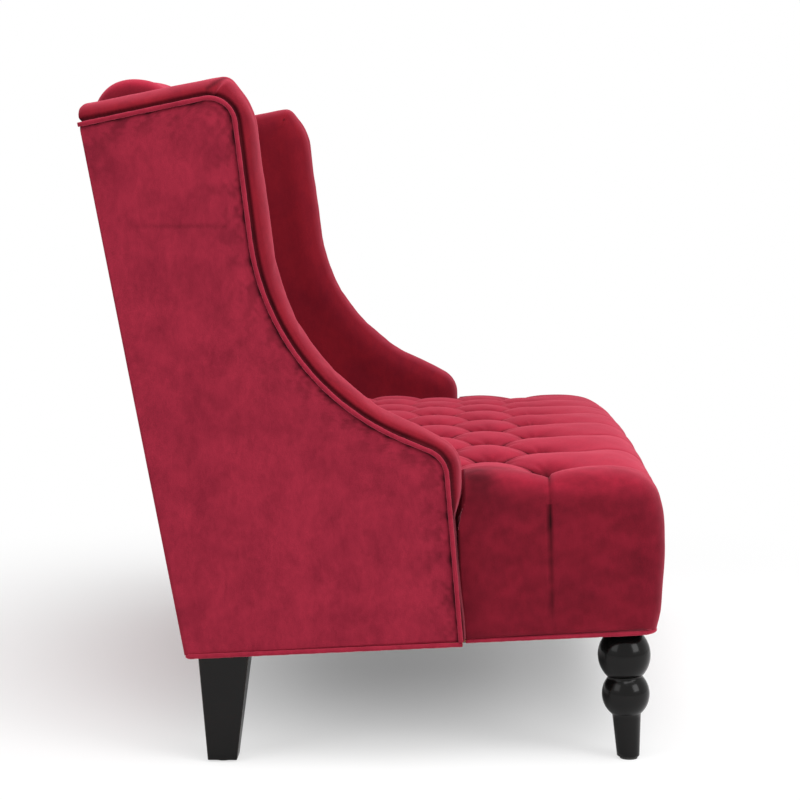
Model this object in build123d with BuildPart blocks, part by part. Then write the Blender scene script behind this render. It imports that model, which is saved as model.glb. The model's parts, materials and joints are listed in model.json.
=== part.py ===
"""High back settee: a T-shaped diamond-tufted seat, a rolled tufted back, swept wings and four legs.

Millimetres. +X runs along the settee, the front faces -Y and +Z is up. The origin is on the floor,
midway along the settee and midway from front to back. Left and right are as seen from the front.
"""
from build123d import *
from math import cos, radians, sin, sqrt, tan
import os

# Overall sizes
WIDTH = 1270.0
HALF = WIDTH / 2
SIDE_THICKNESS = 92.0                # from the outer welt to the inner face of an arm
BASE_TILT = 2.89                     # the base falls towards the rear, degrees
BASE_HEIGHT = 173.8                  # underside of the base at mid depth
RECLINE = 10.55                      # the outside back leans rearwards, degrees
REAR_FOOT = (274.5, 159.9)           # lower end of the outside back, y and z

# Cloth edges
WELT_RADIUS = 3.3
WELT_TOP = 2 * WELT_RADIUS
PANEL_THICKNESS = 5.0
BACK_CLOTH = 5.0
COVER_GAP = 0.3                      # clearance where two covers meet

# Frame timber, webbing and felt
RAIL_HEIGHT = 62.0
RAIL_WIDTH = 42.0
PLYWOOD = 24.4
PLY_INSET = 3.0                      # its edge stays inside the line of the side welt
DUST_COVER = 1.2
WEB_THICKNESS = 2.0
WEB_WIDTH = 50.0
FELT = 3.0
RAIL_TOP = DUST_COVER + RAIL_HEIGHT
WEB_TOP = RAIL_TOP + 2 * WEB_THICKNESS
FELT_TOP = WEB_TOP + FELT

# Planes along the settee, as distances from the middle
PAD_OUTER = HALF - WELT_TOP          # a wing's cover, under the side panel
PLY_INNER = PAD_OUTER - PLYWOOD
POST_INNER = PLY_INNER - RAIL_WIDTH
PAD_INNER = HALF - SIDE_THICKNESS
BETWEEN_ARMS = PAD_INNER - COVER_GAP

# Edge of a side panel, as corners that are then rounded: y and z
PANEL_CORNERS = ((-133.0, 184.0), (-105.5, 460.0), (154.5, 562.8), (200.9, 981.0), (420.7, 935.2))
PANEL_RADII = (45.0, 318.0, 41.0)

# Outer edge of the padded band that frames the arm and the wing, the same way
PAD_CORNERS = (
    (-133.5, 189.0), (-115.8, 366.0), (-127.5, 402.0), (-127.5, 464.4),
    (133.6, 592.3), (181.4, 1010.0), (424.6, 961.5),
)
PAD_RADII = (40.0, 40.0, 45.0, 326.0, 46.0)
PAD_REAR_RADIUS = 18.0               # where the wing's top meets the outside back
OUTER_ROLL = 11.0
INNER_ROLL = 26.0

# Diamond tufting: rows half a diamond apart, alternate rows shifted by half a pitch
HALF_PITCH = 75.0
ROW_STEP = 83.0
PIT_DEPTH = 20.0
PLEAT_DEPTH = 12.0
PIT_WIDTH = 5.0
CHORDS = 4                           # chords that stand for each curve of the tufted surfaces
BALL_CHORDS = 5                      # and for each ball of a turned leg
WELT_SIDES = 10                      # flats that stand for the round of a welt
NUT_SIDES = 12                       # and for the round of a tee nut and of the hole it sits in
LAST_TUFT = 7 * HALF_PITCH

# Seat
SEAT_HALF = 611.0                    # the seat's ears reach almost to the arms' outer faces
SEAT_CREST = 452.0
SEAT_CROWN = 20.0                    # the crest is this much lower at the ends
SEAT_CROWN_AT = 565.0
SEAT_FRONT = -424.5
SEAT_FIRST_ROW = -256.0
SEAT_TOP_ROUND = 40.0
SEAT_FRONT_ROUND = 26.0
SEAT_ROUND_START = 563.0
SEAT_ROUND_STEPS = (0.0, 0.5, 0.8, 0.95, 1.0)
SEAT_FOOT_SET_BACK = 8.5
FRONT_WALL = 18.6                    # padding in front of the front rail
FRONT_RAIL = (SEAT_FRONT + FRONT_WALL, SEAT_FRONT + FRONT_WALL + 52.0)
REAR_RAIL = (207.0, 264.0)
RAIL_CORNER = 30.0                   # front corners of the frame, rounded under the padding

# Back, in its own plane: depth forward of the outside back, and rise up its slope
BACK_DEPTH = 150.0
BACK_CREST = 849.5
BACK_SHOULDER = 781.0
BACK_FIRST_ROW = 731.0
BACK_CROWN = 7.0
BACK_CLOTH_TOP = 789.0
FRAME_DEPTH = 40.0
TOP_RAIL = (694.0, 762.0)
LOWER_RAIL = (152.0, 217.0)
UPRIGHT_AT = 185.0
UPRIGHT_WIDTH = 44.0

# Legs
FRONT_LEG = (566.0, -368.0)          # x, and y where the leg meets the base
REAR_LEG = (583.0, 220.0)
BOLT_RADIUS = 4.0
BOLT_IN_LEG = 34.0
BOLT_IN_RAIL = 30.0
NUT_RADIUS = 5.2
NUT_HEIGHT = 16.0
NUT_FLANGE = (11.0, 2.0)
LEG_TOP_RADIUS = 21.0                # radii of the turned leg, each with its height above the floor
UPPER_BALL = (38.8, 161.0)
UPPER_NECK = (25.2, 123.5)
LOWER_BALL = (35.3, 96.0)
LOWER_NECK = (21.2, 67.5)
FOOT_RADIUS = 16.5
FOOT_CHAMFER = 1.5
REAR_LEG_FOOT = (3.0, 43.0, 224.0)   # height, width and y of the square leg's two ends
REAR_LEG_HEAD = (190.0, 79.5, 218.8)
REAR_LEG_EDGE = 1.5                  # bevel along its four long edges
GLIDE_HEIGHT = 3.0
GLIDE_RADIUS = 13.0

BASE = Plane(
    origin=(0, 0, BASE_HEIGHT),
    x_dir=(1, 0, 0),
    z_dir=(0, sin(radians(BASE_TILT)), cos(radians(BASE_TILT))),
)
UP_THE_BACK = 1000.0                 # past every edge of the piece being cut


def base_z(y, lift=0):
    """Height, at this y, of the tilted underside of the base or of the level that is lift above it."""
    return BASE_HEIGHT - y * tan(radians(BASE_TILT)) + lift / cos(radians(BASE_TILT))


def back_plane(x):
    """Plane across the settee at x: its x is depth forward of the outside back, its y is up the slope."""
    forward = (0, -cos(radians(RECLINE)), sin(radians(RECLINE)))
    return Plane(origin=(x, *REAR_FOOT), x_dir=forward, z_dir=(-1, 0, 0))


def back_point(depth, rise):
    """Side view point (y, z) of a place in the back's own plane."""
    lean = radians(RECLINE)
    y = REAR_FOOT[0] - depth * cos(lean) + rise * sin(lean)
    z = REAR_FOOT[1] + depth * sin(lean) + rise * cos(lean)
    return (y, z)


def rise_of_base(depth, lift):
    """How far up the back's slope, at this depth, the level lies that is lift above the base."""
    lean = radians(RECLINE)
    y, z = back_point(depth, 0)
    return (base_z(y, lift) - z) / (cos(lean) + sin(lean) * tan(radians(BASE_TILT)))


def save(piece, name):
    """Name the finished piece and write it."""
    piece.part.label = name
    export_step(piece.part, f"parts/{name}.step")


def save_pair(left, name):
    """Write a left piece and its mirror image on the right."""
    save(left, f"{name}_left")
    with BuildPart() as right:
        mirror(left.part, about=Plane.YZ)
    save(right, f"{name}_right")


def block(x_range, y_range, lift, height):
    """Bar that stands square to the tilted base, lift above it."""
    with BuildPart() as bar:
        with BuildSketch(BASE.offset(lift)):
            with Locations(((x_range[0] + x_range[1]) / 2, (y_range[0] + y_range[1]) / 2)):
                Rectangle(x_range[1] - x_range[0], y_range[1] - y_range[0])
        extrude(amount=height)
    return bar.part


def frame_block(y_range, lift, height):
    """Full width block of the seat frame; at the frame's front its two outer corners are rounded."""
    with BuildPart() as bar:
        add(block((-PLY_INNER, PLY_INNER), y_range, lift, height))
        if y_range[0] == FRONT_RAIL[0]:
            uprights = bar.edges().filter_by(Axis(BASE.origin, BASE.z_dir))
            fillet(uprights.group_by(Axis.Y)[0], RAIL_CORNER)
    return bar.part


def back_block(x_range, depths, rises):
    """Bar that lies in the plane of the back."""
    with BuildPart() as bar:
        with BuildSketch(back_plane(x_range[1])):
            with Locations(((depths[0] + depths[1]) / 2, (rises[0] + rises[1]) / 2)):
                Rectangle(depths[1] - depths[0], rises[1] - rises[0])
        extrude(amount=x_range[1] - x_range[0])
    return bar.part


def side_outline(x, corners, radii, inset, depth, lift, rear_radius=0):
    """Side view outline with rounded corners, moved in by inset, ahead of depth and above lift."""
    foot, rear = Vector(*corners[0]), Vector(*corners[-1])
    below = foot + (foot - Vector(*corners[1])) * 0.5
    behind = rear + (rear - Vector(*corners[-2])) * 0.5
    with BuildSketch(Plane.YZ.offset(x)) as outline:
        with BuildLine():
            FilletPolyline(below, *corners[1:-1], behind, radius=radii)
            Polyline(behind, (behind.X, 0), (below.X, 0), below)
        make_face()
        if inset:
            offset(amount=-inset, kind=Kind.INTERSECTION)
        front = foot.Y - UP_THE_BACK
        with BuildLine():
            Polyline(
                back_point(depth, rise_of_base(depth, lift)),
                back_point(depth, UP_THE_BACK),
                (front, UP_THE_BACK + HALF),
                (front, base_z(front, lift)),
                close=True,
            )
        make_face(mode=Mode.INTERSECT)
        if rear_radius:
            fillet(outline.vertices().sort_by(Axis.X)[-1], rear_radius)
    return outline.sketch


def slab(outline, thickness):
    """The outline given a thickness towards +X."""
    with BuildPart() as piece:
        extrude(outline, amount=thickness)
    return piece.part


# ---------------------------------------------------------------- frame

def make_rails():
    """Timber of the seat frame: four rails, two cross rails and four corner blocks."""
    for name, rail, leg in (
        ("seat_front_rail", FRONT_RAIL, FRONT_LEG),
        ("seat_back_rail", REAR_RAIL, REAR_LEG),
    ):
        with BuildPart() as bar:
            add(frame_block(rail, DUST_COVER, RAIL_HEIGHT))
            with BuildSketch(BASE.offset(DUST_COVER)):
                with Locations((-leg[0], leg[1]), (leg[0], leg[1])):
                    RegularPolygon(NUT_RADIUS, NUT_SIDES)
            extrude(amount=RAIL_HEIGHT, mode=Mode.SUBTRACT)
            with BuildSketch(BASE.offset(DUST_COVER)):
                with Locations((-leg[0], leg[1]), (leg[0], leg[1])):
                    RegularPolygon(NUT_FLANGE[0], NUT_SIDES)
            extrude(amount=NUT_FLANGE[1], mode=Mode.SUBTRACT)
        save(bar, name)

    between = (FRONT_RAIL[1], REAR_RAIL[0])
    with BuildPart() as side_rail:
        add(block((-PLY_INNER, -POST_INNER), between, DUST_COVER, RAIL_HEIGHT))
    save_pair(side_rail, "seat_side_rail")

    with BuildPart() as cross_rails:
        for x in (-UPRIGHT_AT, UPRIGHT_AT):
            add(block((x - 15, x + 15), between, DUST_COVER, RAIL_HEIGHT))
    save(cross_rails, "seat_cross_rails")

    block_leg, block_height = 85.0, 45.0
    with BuildPart() as corner_blocks:
        for side in (-1, 1):
            for corner, inward in ((FRONT_RAIL[1], 1), (REAR_RAIL[0], -1)):
                with BuildSketch(BASE.offset(DUST_COVER)):
                    with BuildLine():
                        Polyline(
                            (side * POST_INNER, corner),
                            (side * (POST_INNER - block_leg), corner),
                            (side * (POST_INNER - block_leg), corner + inward * 12),
                            (side * (POST_INNER - 12), corner + inward * block_leg),
                            (side * POST_INNER, corner + inward * block_leg),
                            close=True,
                        )
                    make_face()
                extrude(amount=block_height)
    save(corner_blocks, "corner_blocks")


def make_back_frame():
    """Posts on the rear rail's ends, a top and a lower rail between them, and two uprights."""
    depths = (BACK_CLOTH, BACK_CLOTH + FRAME_DEPTH)
    foot = rise_of_base(depths[0], RAIL_TOP)
    with BuildPart() as post:
        add(back_block((-PLY_INNER, -POST_INNER), depths, (foot - 20, TOP_RAIL[1])))
        split(bisect_by=BASE.offset(RAIL_TOP), keep=Keep.TOP)
    save_pair(post, "back_post")

    for name, rises in (("back_top_rail", TOP_RAIL), ("back_lower_rail", LOWER_RAIL)):
        with BuildPart() as rail:
            add(back_block((-POST_INNER, POST_INNER), depths, rises))
        save(rail, name)

    with BuildPart() as uprights:
        for x in (-UPRIGHT_AT, UPRIGHT_AT):
            half = UPRIGHT_WIDTH / 2
            add(back_block((x - half, x + half), depths, (LOWER_RAIL[1], TOP_RAIL[0])))
    save(uprights, "back_uprights")


def make_webbing():
    """Elastic webbing on the seat and back frames, each a layer of strips with cross strips over it."""
    seat_pitch, back_pitch = 86.0, 92.0
    with BuildPart() as seat_webbing:
        for i in range(12):
            x = (i - 5.5) * seat_pitch
            span = (FRONT_RAIL[0] + 3, REAR_RAIL[1] - 3)
            add(block((x - WEB_WIDTH / 2, x + WEB_WIDTH / 2), span, RAIL_TOP, WEB_THICKNESS))
        for i in range(4):
            y = -300.0 + i * 125.0
            across = (y - WEB_WIDTH / 2, y + WEB_WIDTH / 2)
            add(block((-535, 535), across, RAIL_TOP + WEB_THICKNESS, WEB_THICKNESS))
    save(seat_webbing, "seat_webbing")

    with BuildPart() as seat_felt:
        width = (-BETWEEN_ARMS + 1, BETWEEN_ARMS - 1)
        add(block(width, (FRONT_RAIL[0] + 1, FRONT_RAIL[1] + 480), WEB_TOP, FELT))
    save(seat_felt, "seat_felt")

    face = BACK_CLOTH + FRAME_DEPTH
    with BuildPart() as back_webbing:
        for i in range(4):
            rise = 285.0 + i * 105.0
            rises = (rise - WEB_WIDTH / 2, rise + WEB_WIDTH / 2)
            add(back_block((-PLY_INNER + 3, PLY_INNER - 3), (face, face + WEB_THICKNESS), rises))
        for i in range(11):
            x = (i - 5) * back_pitch
            across = (x - WEB_WIDTH / 2, x + WEB_WIDTH / 2)
            depths = (face + WEB_THICKNESS, face + 2 * WEB_THICKNESS)
            add(back_block(across, depths, (LOWER_RAIL[0] + 6, TOP_RAIL[1] - 6)))
    save(back_webbing, "back_webbing")


# ---------------------------------------------------------------- tufting

def zigzag(x):
    """0 on the columns at odd half pitches, 1 on the even ones, straight in between."""
    return abs(min(abs(x), LAST_TUFT) / HALF_PITCH % 2 - 1)


def pleat_depth(slide):
    """Depth of the valley between two puffs: a pit at each tuft, shallower halfway to the next."""
    return PLEAT_DEPTH + (PIT_DEPTH - PLEAT_DEPTH) * (2 * slide - 1) ** 2


def valley_places(first_row, step, slide, count):
    """Places of the valleys that cross a section: pairs part at one tuft and meet at the next."""
    places = []
    for i in range(count):
        row = 2 * ((i + 1) // 2)
        towards = 1 if i % 2 == 0 else -1
        apart = PIT_WIDTH / 2 / abs(step) * (1 - 2 * slide)
        places.append(first_row + step * (row + towards * (slide + apart)))
    return places


def bend(start, through, end, chords=CHORDS):
    """Arc from start to end, drawn as a few chords that keep the faces light."""
    arc = ThreePointArc(start, through, end, mode=Mode.PRIVATE)
    Polyline(*(arc @ (i / chords) for i in range(chords + 1)))


def puff(start, end):
    """Convex curve between two valleys, its rise set by how far they are apart."""
    start, end = Vector(*start), Vector(*end)
    chord = end - start
    outward = Vector(-chord.Y, chord.X).normalized()
    rise = min(PIT_DEPTH * 0.95, 0.00165 * chord.length ** 2 + 0.3)
    bend(start, (start + end) / 2 + outward * rise, end)


def tuft_stations(limit):
    """Places along the settee where the tufting is drawn: on each column and midway between."""
    steps = int(limit / HALF_PITCH * 2 + 0.01)
    return [i * HALF_PITCH / 2 for i in range(-steps, steps + 1)]


def seat_section(x, inward):
    """Tufted seat's outline at x; inward runs from 0 at the start of the end's rounding to 1 at the end."""
    slide = zigzag(x)
    drawn = 1 - sqrt(max(0.0, 1 - inward ** 2))
    corner = max(0.0, abs(x) - SEAT_HALF + SEAT_FRONT_ROUND) / SEAT_FRONT_ROUND
    crest = SEAT_CREST - SEAT_CROWN * (x / SEAT_CROWN_AT) ** 2 - SEAT_TOP_ROUND * drawn
    front = SEAT_FRONT + SEAT_FRONT_ROUND * (1 - sqrt(max(0.0, 1 - corner ** 2)))
    pleat = max(0.0, 1 - 2 * slide) * (1 - drawn)
    depth = pleat_depth(slide) * (1 - 0.6 * min(1.0, max(0.0, abs(x) - LAST_TUFT) / 60))
    foot = (front + SEAT_FOOT_SET_BACK, base_z(front, WELT_TOP))
    belly = (front, 290.0)
    chin = (front + 0.5 + 2 * pleat, crest - 90)
    brow = (front + 17.5 + 4 * pleat, crest - 25 - 5 * pleat)
    top = (front + 84, crest - 2 - 9 * pleat)
    rear = BACK_DEPTH + 4
    rear_rise = (crest - 14 - back_point(rear, 0)[1]) / cos(radians(RECLINE))
    rear_top = back_point(rear, rear_rise)
    rear_foot = back_point(rear, rise_of_base(rear, WELT_TOP))
    with BuildSketch(Plane.YZ.offset(x)) as section:
        with BuildLine():
            bend(foot, belly, chin)
            bend(chin, brow, top)
            edge = top
            for y in valley_places(SEAT_FIRST_ROW, ROW_STEP, slide, 5):
                valley = (y, crest - depth)
                puff(edge, valley)
                edge = valley
            puff(edge, rear_top)
            Polyline(rear_top, rear_foot, foot)
        make_face()
    return section.sketch


def make_seat():
    """The upholstered seat, hollow below for the frame and notched at the rear for the arms."""
    middle = [(x, 0.0) for x in tuft_stations(LAST_TUFT)]
    ends = [
        (SEAT_ROUND_START + (SEAT_HALF - SEAT_ROUND_START) * step, step) for step in SEAT_ROUND_STEPS
    ]
    grown_arm = side_outline(-HALF - 5, PAD_CORNERS, PAD_RADII, -COVER_GAP, -RAIL_WIDTH, -RAIL_WIDTH)
    arm_cut = slab(grown_arm, HALF + 5 - BETWEEN_ARMS)
    stations = [(-x, step) for x, step in reversed(ends)] + middle + ends
    with BuildPart() as seat:
        loft([seat_section(x, step) for x, step in stations], ruled=True)
        add(frame_block((FRONT_RAIL[0], REAR_FOOT[0]), -RAIL_TOP, RAIL_TOP + FELT_TOP), mode=Mode.SUBTRACT)
        add(arm_cut, mode=Mode.SUBTRACT)
        mirror(arm_cut, about=Plane.YZ, mode=Mode.SUBTRACT)
    save(seat, "seat_cushion")


def back_section(x):
    """Tufted inside back's outline at x, drawn in the back's own plane."""
    slide = 1 - zigzag(x)
    inward = max(0.0, abs(x) - LAST_TUFT) / (BETWEEN_ARMS - LAST_TUFT)
    drop = BACK_CROWN * (x / PAD_INNER) ** 2 + 9 * inward
    pleat = max(0.0, 1 - 2 * slide) if abs(x) < LAST_TUFT else 0.0
    depth = pleat_depth(slide) if abs(x) < LAST_TUFT - 1 else PLEAT_DEPTH * 0.6
    front = BACK_DEPTH - 4 * inward
    rear_top = (BACK_CLOTH, BACK_CLOTH_TOP)
    crest = (58.0, BACK_CREST - drop - 10 * pleat)
    shoulder = (front - 4 - 8 * pleat, BACK_SHOULDER - drop)
    foot_front = rise_of_base(BACK_DEPTH, FELT_TOP)
    foot_rear = rise_of_base(BACK_CLOTH, FELT_TOP)
    with BuildSketch(back_plane(x)) as section:
        with BuildLine():
            bend(rear_top, (20.0, crest[1] - 17), crest)
            bend(crest, (112.0 - 3 * pleat, crest[1] - 18), shoulder)
            edge = shoulder
            for rise in valley_places(BACK_FIRST_ROW, -ROW_STEP, slide, 4):
                valley = (front - depth, rise)
                puff(edge, valley)
                edge = valley
            lumbar = (front - 3 - 8 * pleat, 303.0)
            puff(edge, lumbar)
            Polyline(lumbar, (BACK_DEPTH, foot_front), (BACK_CLOTH, foot_rear), rear_top)
        make_face()
    return section.sketch


def make_inside_back():
    """The upholstered inside back, rolled over the top rail and hollow behind for the frame."""
    stations = [-BETWEEN_ARMS] + tuft_stations(LAST_TUFT) + [BETWEEN_ARMS]
    pocket = (0.0, BACK_CLOTH + FRAME_DEPTH + 2 * WEB_THICKNESS)
    with BuildPart() as inside_back:
        loft([back_section(x) for x in stations], ruled=True)
        add(back_block((-HALF, HALF), pocket, (0.0, TOP_RAIL[1])), mode=Mode.SUBTRACT)
    save(inside_back, "inside_back")


# ---------------------------------------------------------------- covers and cords

def make_wings():
    """Plywood arm and wing frames, arm posts, padded covers, side panels and their welts."""
    ply = side_outline(-PAD_OUTER, PANEL_CORNERS, PANEL_RADII, PLY_INSET, BACK_CLOTH, DUST_COVER)
    behind_rail = (REAR_FOOT[0] - WELT_TOP - 2, REAR_FOOT[0] + WELT_TOP)
    with BuildPart() as wing_frame:
        add(slab(ply, PLYWOOD))
        add(block((-PAD_OUTER, -PLY_INNER), behind_rail, 0, WELT_TOP), mode=Mode.SUBTRACT)
    save_pair(wing_frame, "wing_frame")

    arm_post = block((-PLY_INNER, -POST_INNER), (-104.0, -62.0), RAIL_TOP, 205.0)
    with BuildPart() as post:
        add(arm_post)
    save_pair(post, "arm_post")

    cover = side_outline(
        -PAD_OUTER, PAD_CORNERS, PAD_RADII, 0, BACK_CLOTH, WELT_TOP, rear_radius=PAD_REAR_RADIUS
    )
    behind = BACK_CLOTH + FRAME_DEPTH + 2 * WEB_THICKNESS
    with BuildPart() as wing_pad:
        add(slab(cover, PAD_OUTER - PAD_INNER))
        faces = wing_pad.faces().filter_by(Axis.X).sort_by(Axis.X)
        for face, radius in ((faces[0], OUTER_ROLL), (faces[-1], INNER_ROLL)):
            rim = face.edges().filter_by(lambda edge: not lies_on_cut(edge))
            fillet(rim, radius)
        add(wing_frame.part, mode=Mode.SUBTRACT)
        add(arm_post, mode=Mode.SUBTRACT)
        room = block((-PLY_INNER, -PAD_INNER + 1), (-200.0, 300.0), -20.0, 20.0 + RAIL_TOP)
        add(room, mode=Mode.SUBTRACT)
        add(back_block((-PLY_INNER, -PAD_INNER + 1), (0.0, behind), (0.0, TOP_RAIL[1])), mode=Mode.SUBTRACT)
    save_pair(wing_pad, "wing_pad")

    panel = side_outline(-PAD_OUTER - PANEL_THICKNESS, PANEL_CORNERS, PANEL_RADII, WELT_TOP, 0, WELT_TOP)
    with BuildPart() as side_panel:
        add(slab(panel, PANEL_THICKNESS))
    save_pair(side_panel, "side_panel")


def lies_on_cut(edge):
    """True for an edge along the base or along the rear of a wing, which stay square."""
    y, z = edge.center().Y, edge.center().Z
    on_base = abs(z - base_z(y)) < 3 * WELT_TOP
    depth = (REAR_FOOT[0] - y) * cos(radians(RECLINE)) + (z - REAR_FOOT[1]) * sin(radians(RECLINE))
    return on_base or depth < 2 * BACK_CLOTH


def lay_welt(centreline):
    """Piping along a line of tangent edges, its ends cut square."""
    with BuildPart() as cord:
        with BuildLine():
            add(centreline)
        path = Wire(centreline)
        with BuildSketch(Plane(origin=path @ 0, z_dir=path % 0)):
            RegularPolygon(WELT_RADIUS, WELT_SIDES)
        sweep(path=path)
    return cord.part


def make_welts():
    """Piping round each side panel's front and top, and round the foot of the seat and the back."""
    centre = side_outline(
        -HALF + WELT_RADIUS, PANEL_CORNERS, PANEL_RADII, WELT_RADIUS, WELT_RADIUS, WELT_TOP
    )
    with BuildPart() as side_welt:
        add(lay_welt(centre.edges().filter_by(lambda edge: not lies_on_cut(edge))))
    save_pair(side_welt, "side_welt")

    foot = SEAT_FRONT + SEAT_FOOT_SET_BACK + WELT_RADIUS
    arm_front = PAD_CORNERS[0][0] - 1
    ear = SEAT_HALF - WELT_RADIUS
    side = HALF - WELT_RADIUS
    rear = REAR_FOOT[0] - WELT_RADIUS
    runs = {
        "seat_base_welt": ((-ear, arm_front), (-ear, foot), (ear, foot), (ear, arm_front)),
        "back_base_welt": (
            (-side, PANEL_CORNERS[0][0] + WELT_RADIUS), (-side, rear),
            (side, rear), (side, PANEL_CORNERS[0][0] + WELT_RADIUS),
        ),
    }
    for name, corners in runs.items():
        with BuildLine(BASE.offset(WELT_RADIUS)) as run:
            FilletPolyline(*corners, radius=SEAT_FRONT_ROUND if "seat" in name else 2 * WELT_RADIUS)
        with BuildPart() as cord:
            add(lay_welt(run.edges()))
        save(cord, name)


def make_flat_covers():
    """The outside back's cloth on its board, and the dust cover under the frame."""
    rises = (rise_of_base(0, WELT_TOP), BACK_CLOTH_TOP)
    with BuildPart() as outside_back:
        add(back_block((-PAD_OUTER, PAD_OUTER), (0, BACK_CLOTH), rises))
    save(outside_back, "outside_back")

    with BuildPart() as dust_cover:
        add(frame_block((FRONT_RAIL[0], REAR_RAIL[1]), 0, DUST_COVER))
        with BuildSketch(BASE):
            for x, y in (FRONT_LEG, REAR_LEG):
                with Locations((-x, y), (x, y)):
                    Circle(BOLT_RADIUS)
        extrude(amount=DUST_COVER, mode=Mode.SUBTRACT)
    save(dust_cover, "dust_cover")


# ---------------------------------------------------------------- legs

def leg_plane(leg, side):
    """Upright plane through a leg's axis, which stands square to the tilted base."""
    tilt = radians(BASE_TILT)
    foot = BASE.from_local_coords((side * leg[0], leg[1], 0))
    return Plane(origin=foot, x_dir=(1, 0, 0), z_dir=(0, -cos(tilt), sin(tilt)))


def make_front_legs():
    """Turned legs: two balls over a taper, the axis square to the base and the foot cut level."""
    length = base_z(FRONT_LEG[1]) / cos(radians(BASE_TILT))
    top, upper_neck, lower_neck = 0, UPPER_NECK[1] - length, LOWER_NECK[1] - length
    with BuildPart() as leg:
        with BuildSketch(leg_plane(FRONT_LEG, -1)):
            with BuildLine():
                Polyline((0, -length - 10), (FOOT_RADIUS, -length - 10), (LOWER_NECK[0], lower_neck))
                bend(
                    (LOWER_NECK[0], lower_neck),
                    (LOWER_BALL[0], LOWER_BALL[1] - length),
                    (UPPER_NECK[0], upper_neck),
                    BALL_CHORDS,
                )
                bend(
                    (UPPER_NECK[0], upper_neck),
                    (UPPER_BALL[0], UPPER_BALL[1] - length),
                    (LEG_TOP_RADIUS, top),
                    BALL_CHORDS,
                )
                Polyline((LEG_TOP_RADIUS, top), (0, top), (0, -length - 10))
            make_face()
        revolve(axis=Axis(leg_plane(FRONT_LEG, -1).origin, BASE.z_dir))
        split(bisect_by=Plane.XY.offset(GLIDE_HEIGHT), keep=Keep.TOP)
        rim = leg.edges().sort_by(Axis.Z)[0]
        chamfer(rim, FOOT_CHAMFER)
        bolt_hole(FRONT_LEG, -1)
    save_pair(leg, "front_leg")


def bolt_hole(leg, side):
    """Blind hole down a leg's top for its hanger bolt."""
    with BuildSketch(Plane(origin=leg_plane(leg, side).origin, x_dir=(1, 0, 0), z_dir=BASE.z_dir)) as mouth:
        Circle(BOLT_RADIUS)
    extrude(mouth.sketch, amount=-BOLT_IN_LEG, mode=Mode.SUBTRACT)


def make_rear_legs():
    """Square legs that taper to the floor on all four sides, cut to the tilted base at the top."""
    x, _ = REAR_LEG
    with BuildPart() as leg:
        for z, width, y in (REAR_LEG_FOOT, REAR_LEG_HEAD):
            with BuildSketch(Plane.XY.offset(z)) as square:
                with Locations((-x, y)):
                    Rectangle(width, width)
                chamfer(square.vertices(), REAR_LEG_EDGE)
        loft(ruled=True)
        split(bisect_by=BASE, keep=Keep.BOTTOM)
        bolt_hole(REAR_LEG, -1)
    save_pair(leg, "rear_leg")


def make_leg_hardware():
    """Hanger bolts, the tee nuts that take them in the rails, and a glide under each foot."""
    places = [leg_plane(leg, side).origin for leg in (FRONT_LEG, REAR_LEG) for side in (-1, 1)]
    with BuildPart() as bolts:
        for origin in places:
            with BuildSketch(Plane(origin=origin, x_dir=(1, 0, 0), z_dir=BASE.z_dir).offset(-BOLT_IN_LEG)):
                Circle(BOLT_RADIUS)
        extrude(amount=BOLT_IN_LEG + BOLT_IN_RAIL)
    save(bolts, "hanger_bolts")

    with BuildPart() as nuts:
        for origin in places:
            seat = Plane(origin=origin, x_dir=(1, 0, 0), z_dir=BASE.z_dir).offset(DUST_COVER)
            for radius, height in ((NUT_RADIUS, NUT_HEIGHT), NUT_FLANGE):
                with BuildSketch(seat):
                    RegularPolygon(radius, NUT_SIDES)
                    Circle(BOLT_RADIUS, mode=Mode.SUBTRACT)
                extrude(amount=height)
    save(nuts, "tee_nuts")

    front_foot = FRONT_LEG[1] - base_z(FRONT_LEG[1]) * tan(radians(BASE_TILT))
    with BuildPart() as glides:
        with BuildSketch():
            for x, y in ((FRONT_LEG[0], front_foot), (REAR_LEG[0], REAR_LEG_FOOT[2])):
                with Locations((-x, y), (x, y)):
                    Circle(GLIDE_RADIUS)
        extrude(amount=GLIDE_HEIGHT)
    save(glides, "leg_glides")


os.makedirs("parts", exist_ok=True)
if __name__ == "__main__":
    make_rails()
    make_back_frame()
    make_webbing()
    make_inside_back()
    make_wings()
    make_seat()
    make_welts()
    make_flat_covers()
    make_front_legs()
    make_rear_legs()
    make_leg_hardware()
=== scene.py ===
from math import cos, pi, radians, sin, tan
import json

import bmesh
import bpy
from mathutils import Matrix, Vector
import numpy as np


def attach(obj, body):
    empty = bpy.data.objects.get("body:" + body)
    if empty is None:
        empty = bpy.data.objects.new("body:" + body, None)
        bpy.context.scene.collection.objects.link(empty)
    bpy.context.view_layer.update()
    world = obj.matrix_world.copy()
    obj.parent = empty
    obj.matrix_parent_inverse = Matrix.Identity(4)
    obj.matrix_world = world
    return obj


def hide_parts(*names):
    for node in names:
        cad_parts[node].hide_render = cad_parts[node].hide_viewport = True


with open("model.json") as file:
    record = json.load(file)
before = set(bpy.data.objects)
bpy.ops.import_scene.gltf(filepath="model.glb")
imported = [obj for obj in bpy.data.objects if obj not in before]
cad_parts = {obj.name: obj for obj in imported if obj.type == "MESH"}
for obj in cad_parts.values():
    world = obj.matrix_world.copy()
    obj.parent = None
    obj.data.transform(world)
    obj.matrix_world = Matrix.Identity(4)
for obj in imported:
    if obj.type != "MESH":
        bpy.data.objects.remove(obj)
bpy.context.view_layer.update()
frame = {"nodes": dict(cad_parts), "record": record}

bl_info = {
    "name": "High back settee",
    "version": (1, 0, 0),
    "blender": (4, 5, 0),
    "location": "View3D > Sidebar > Settee",
    "description": "Builds a velvet settee with diamond tufting, piped sides and turned legs",
    "category": "Object",
}

# ---------------------------------------------------------------- sizes, in millimetres

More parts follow.
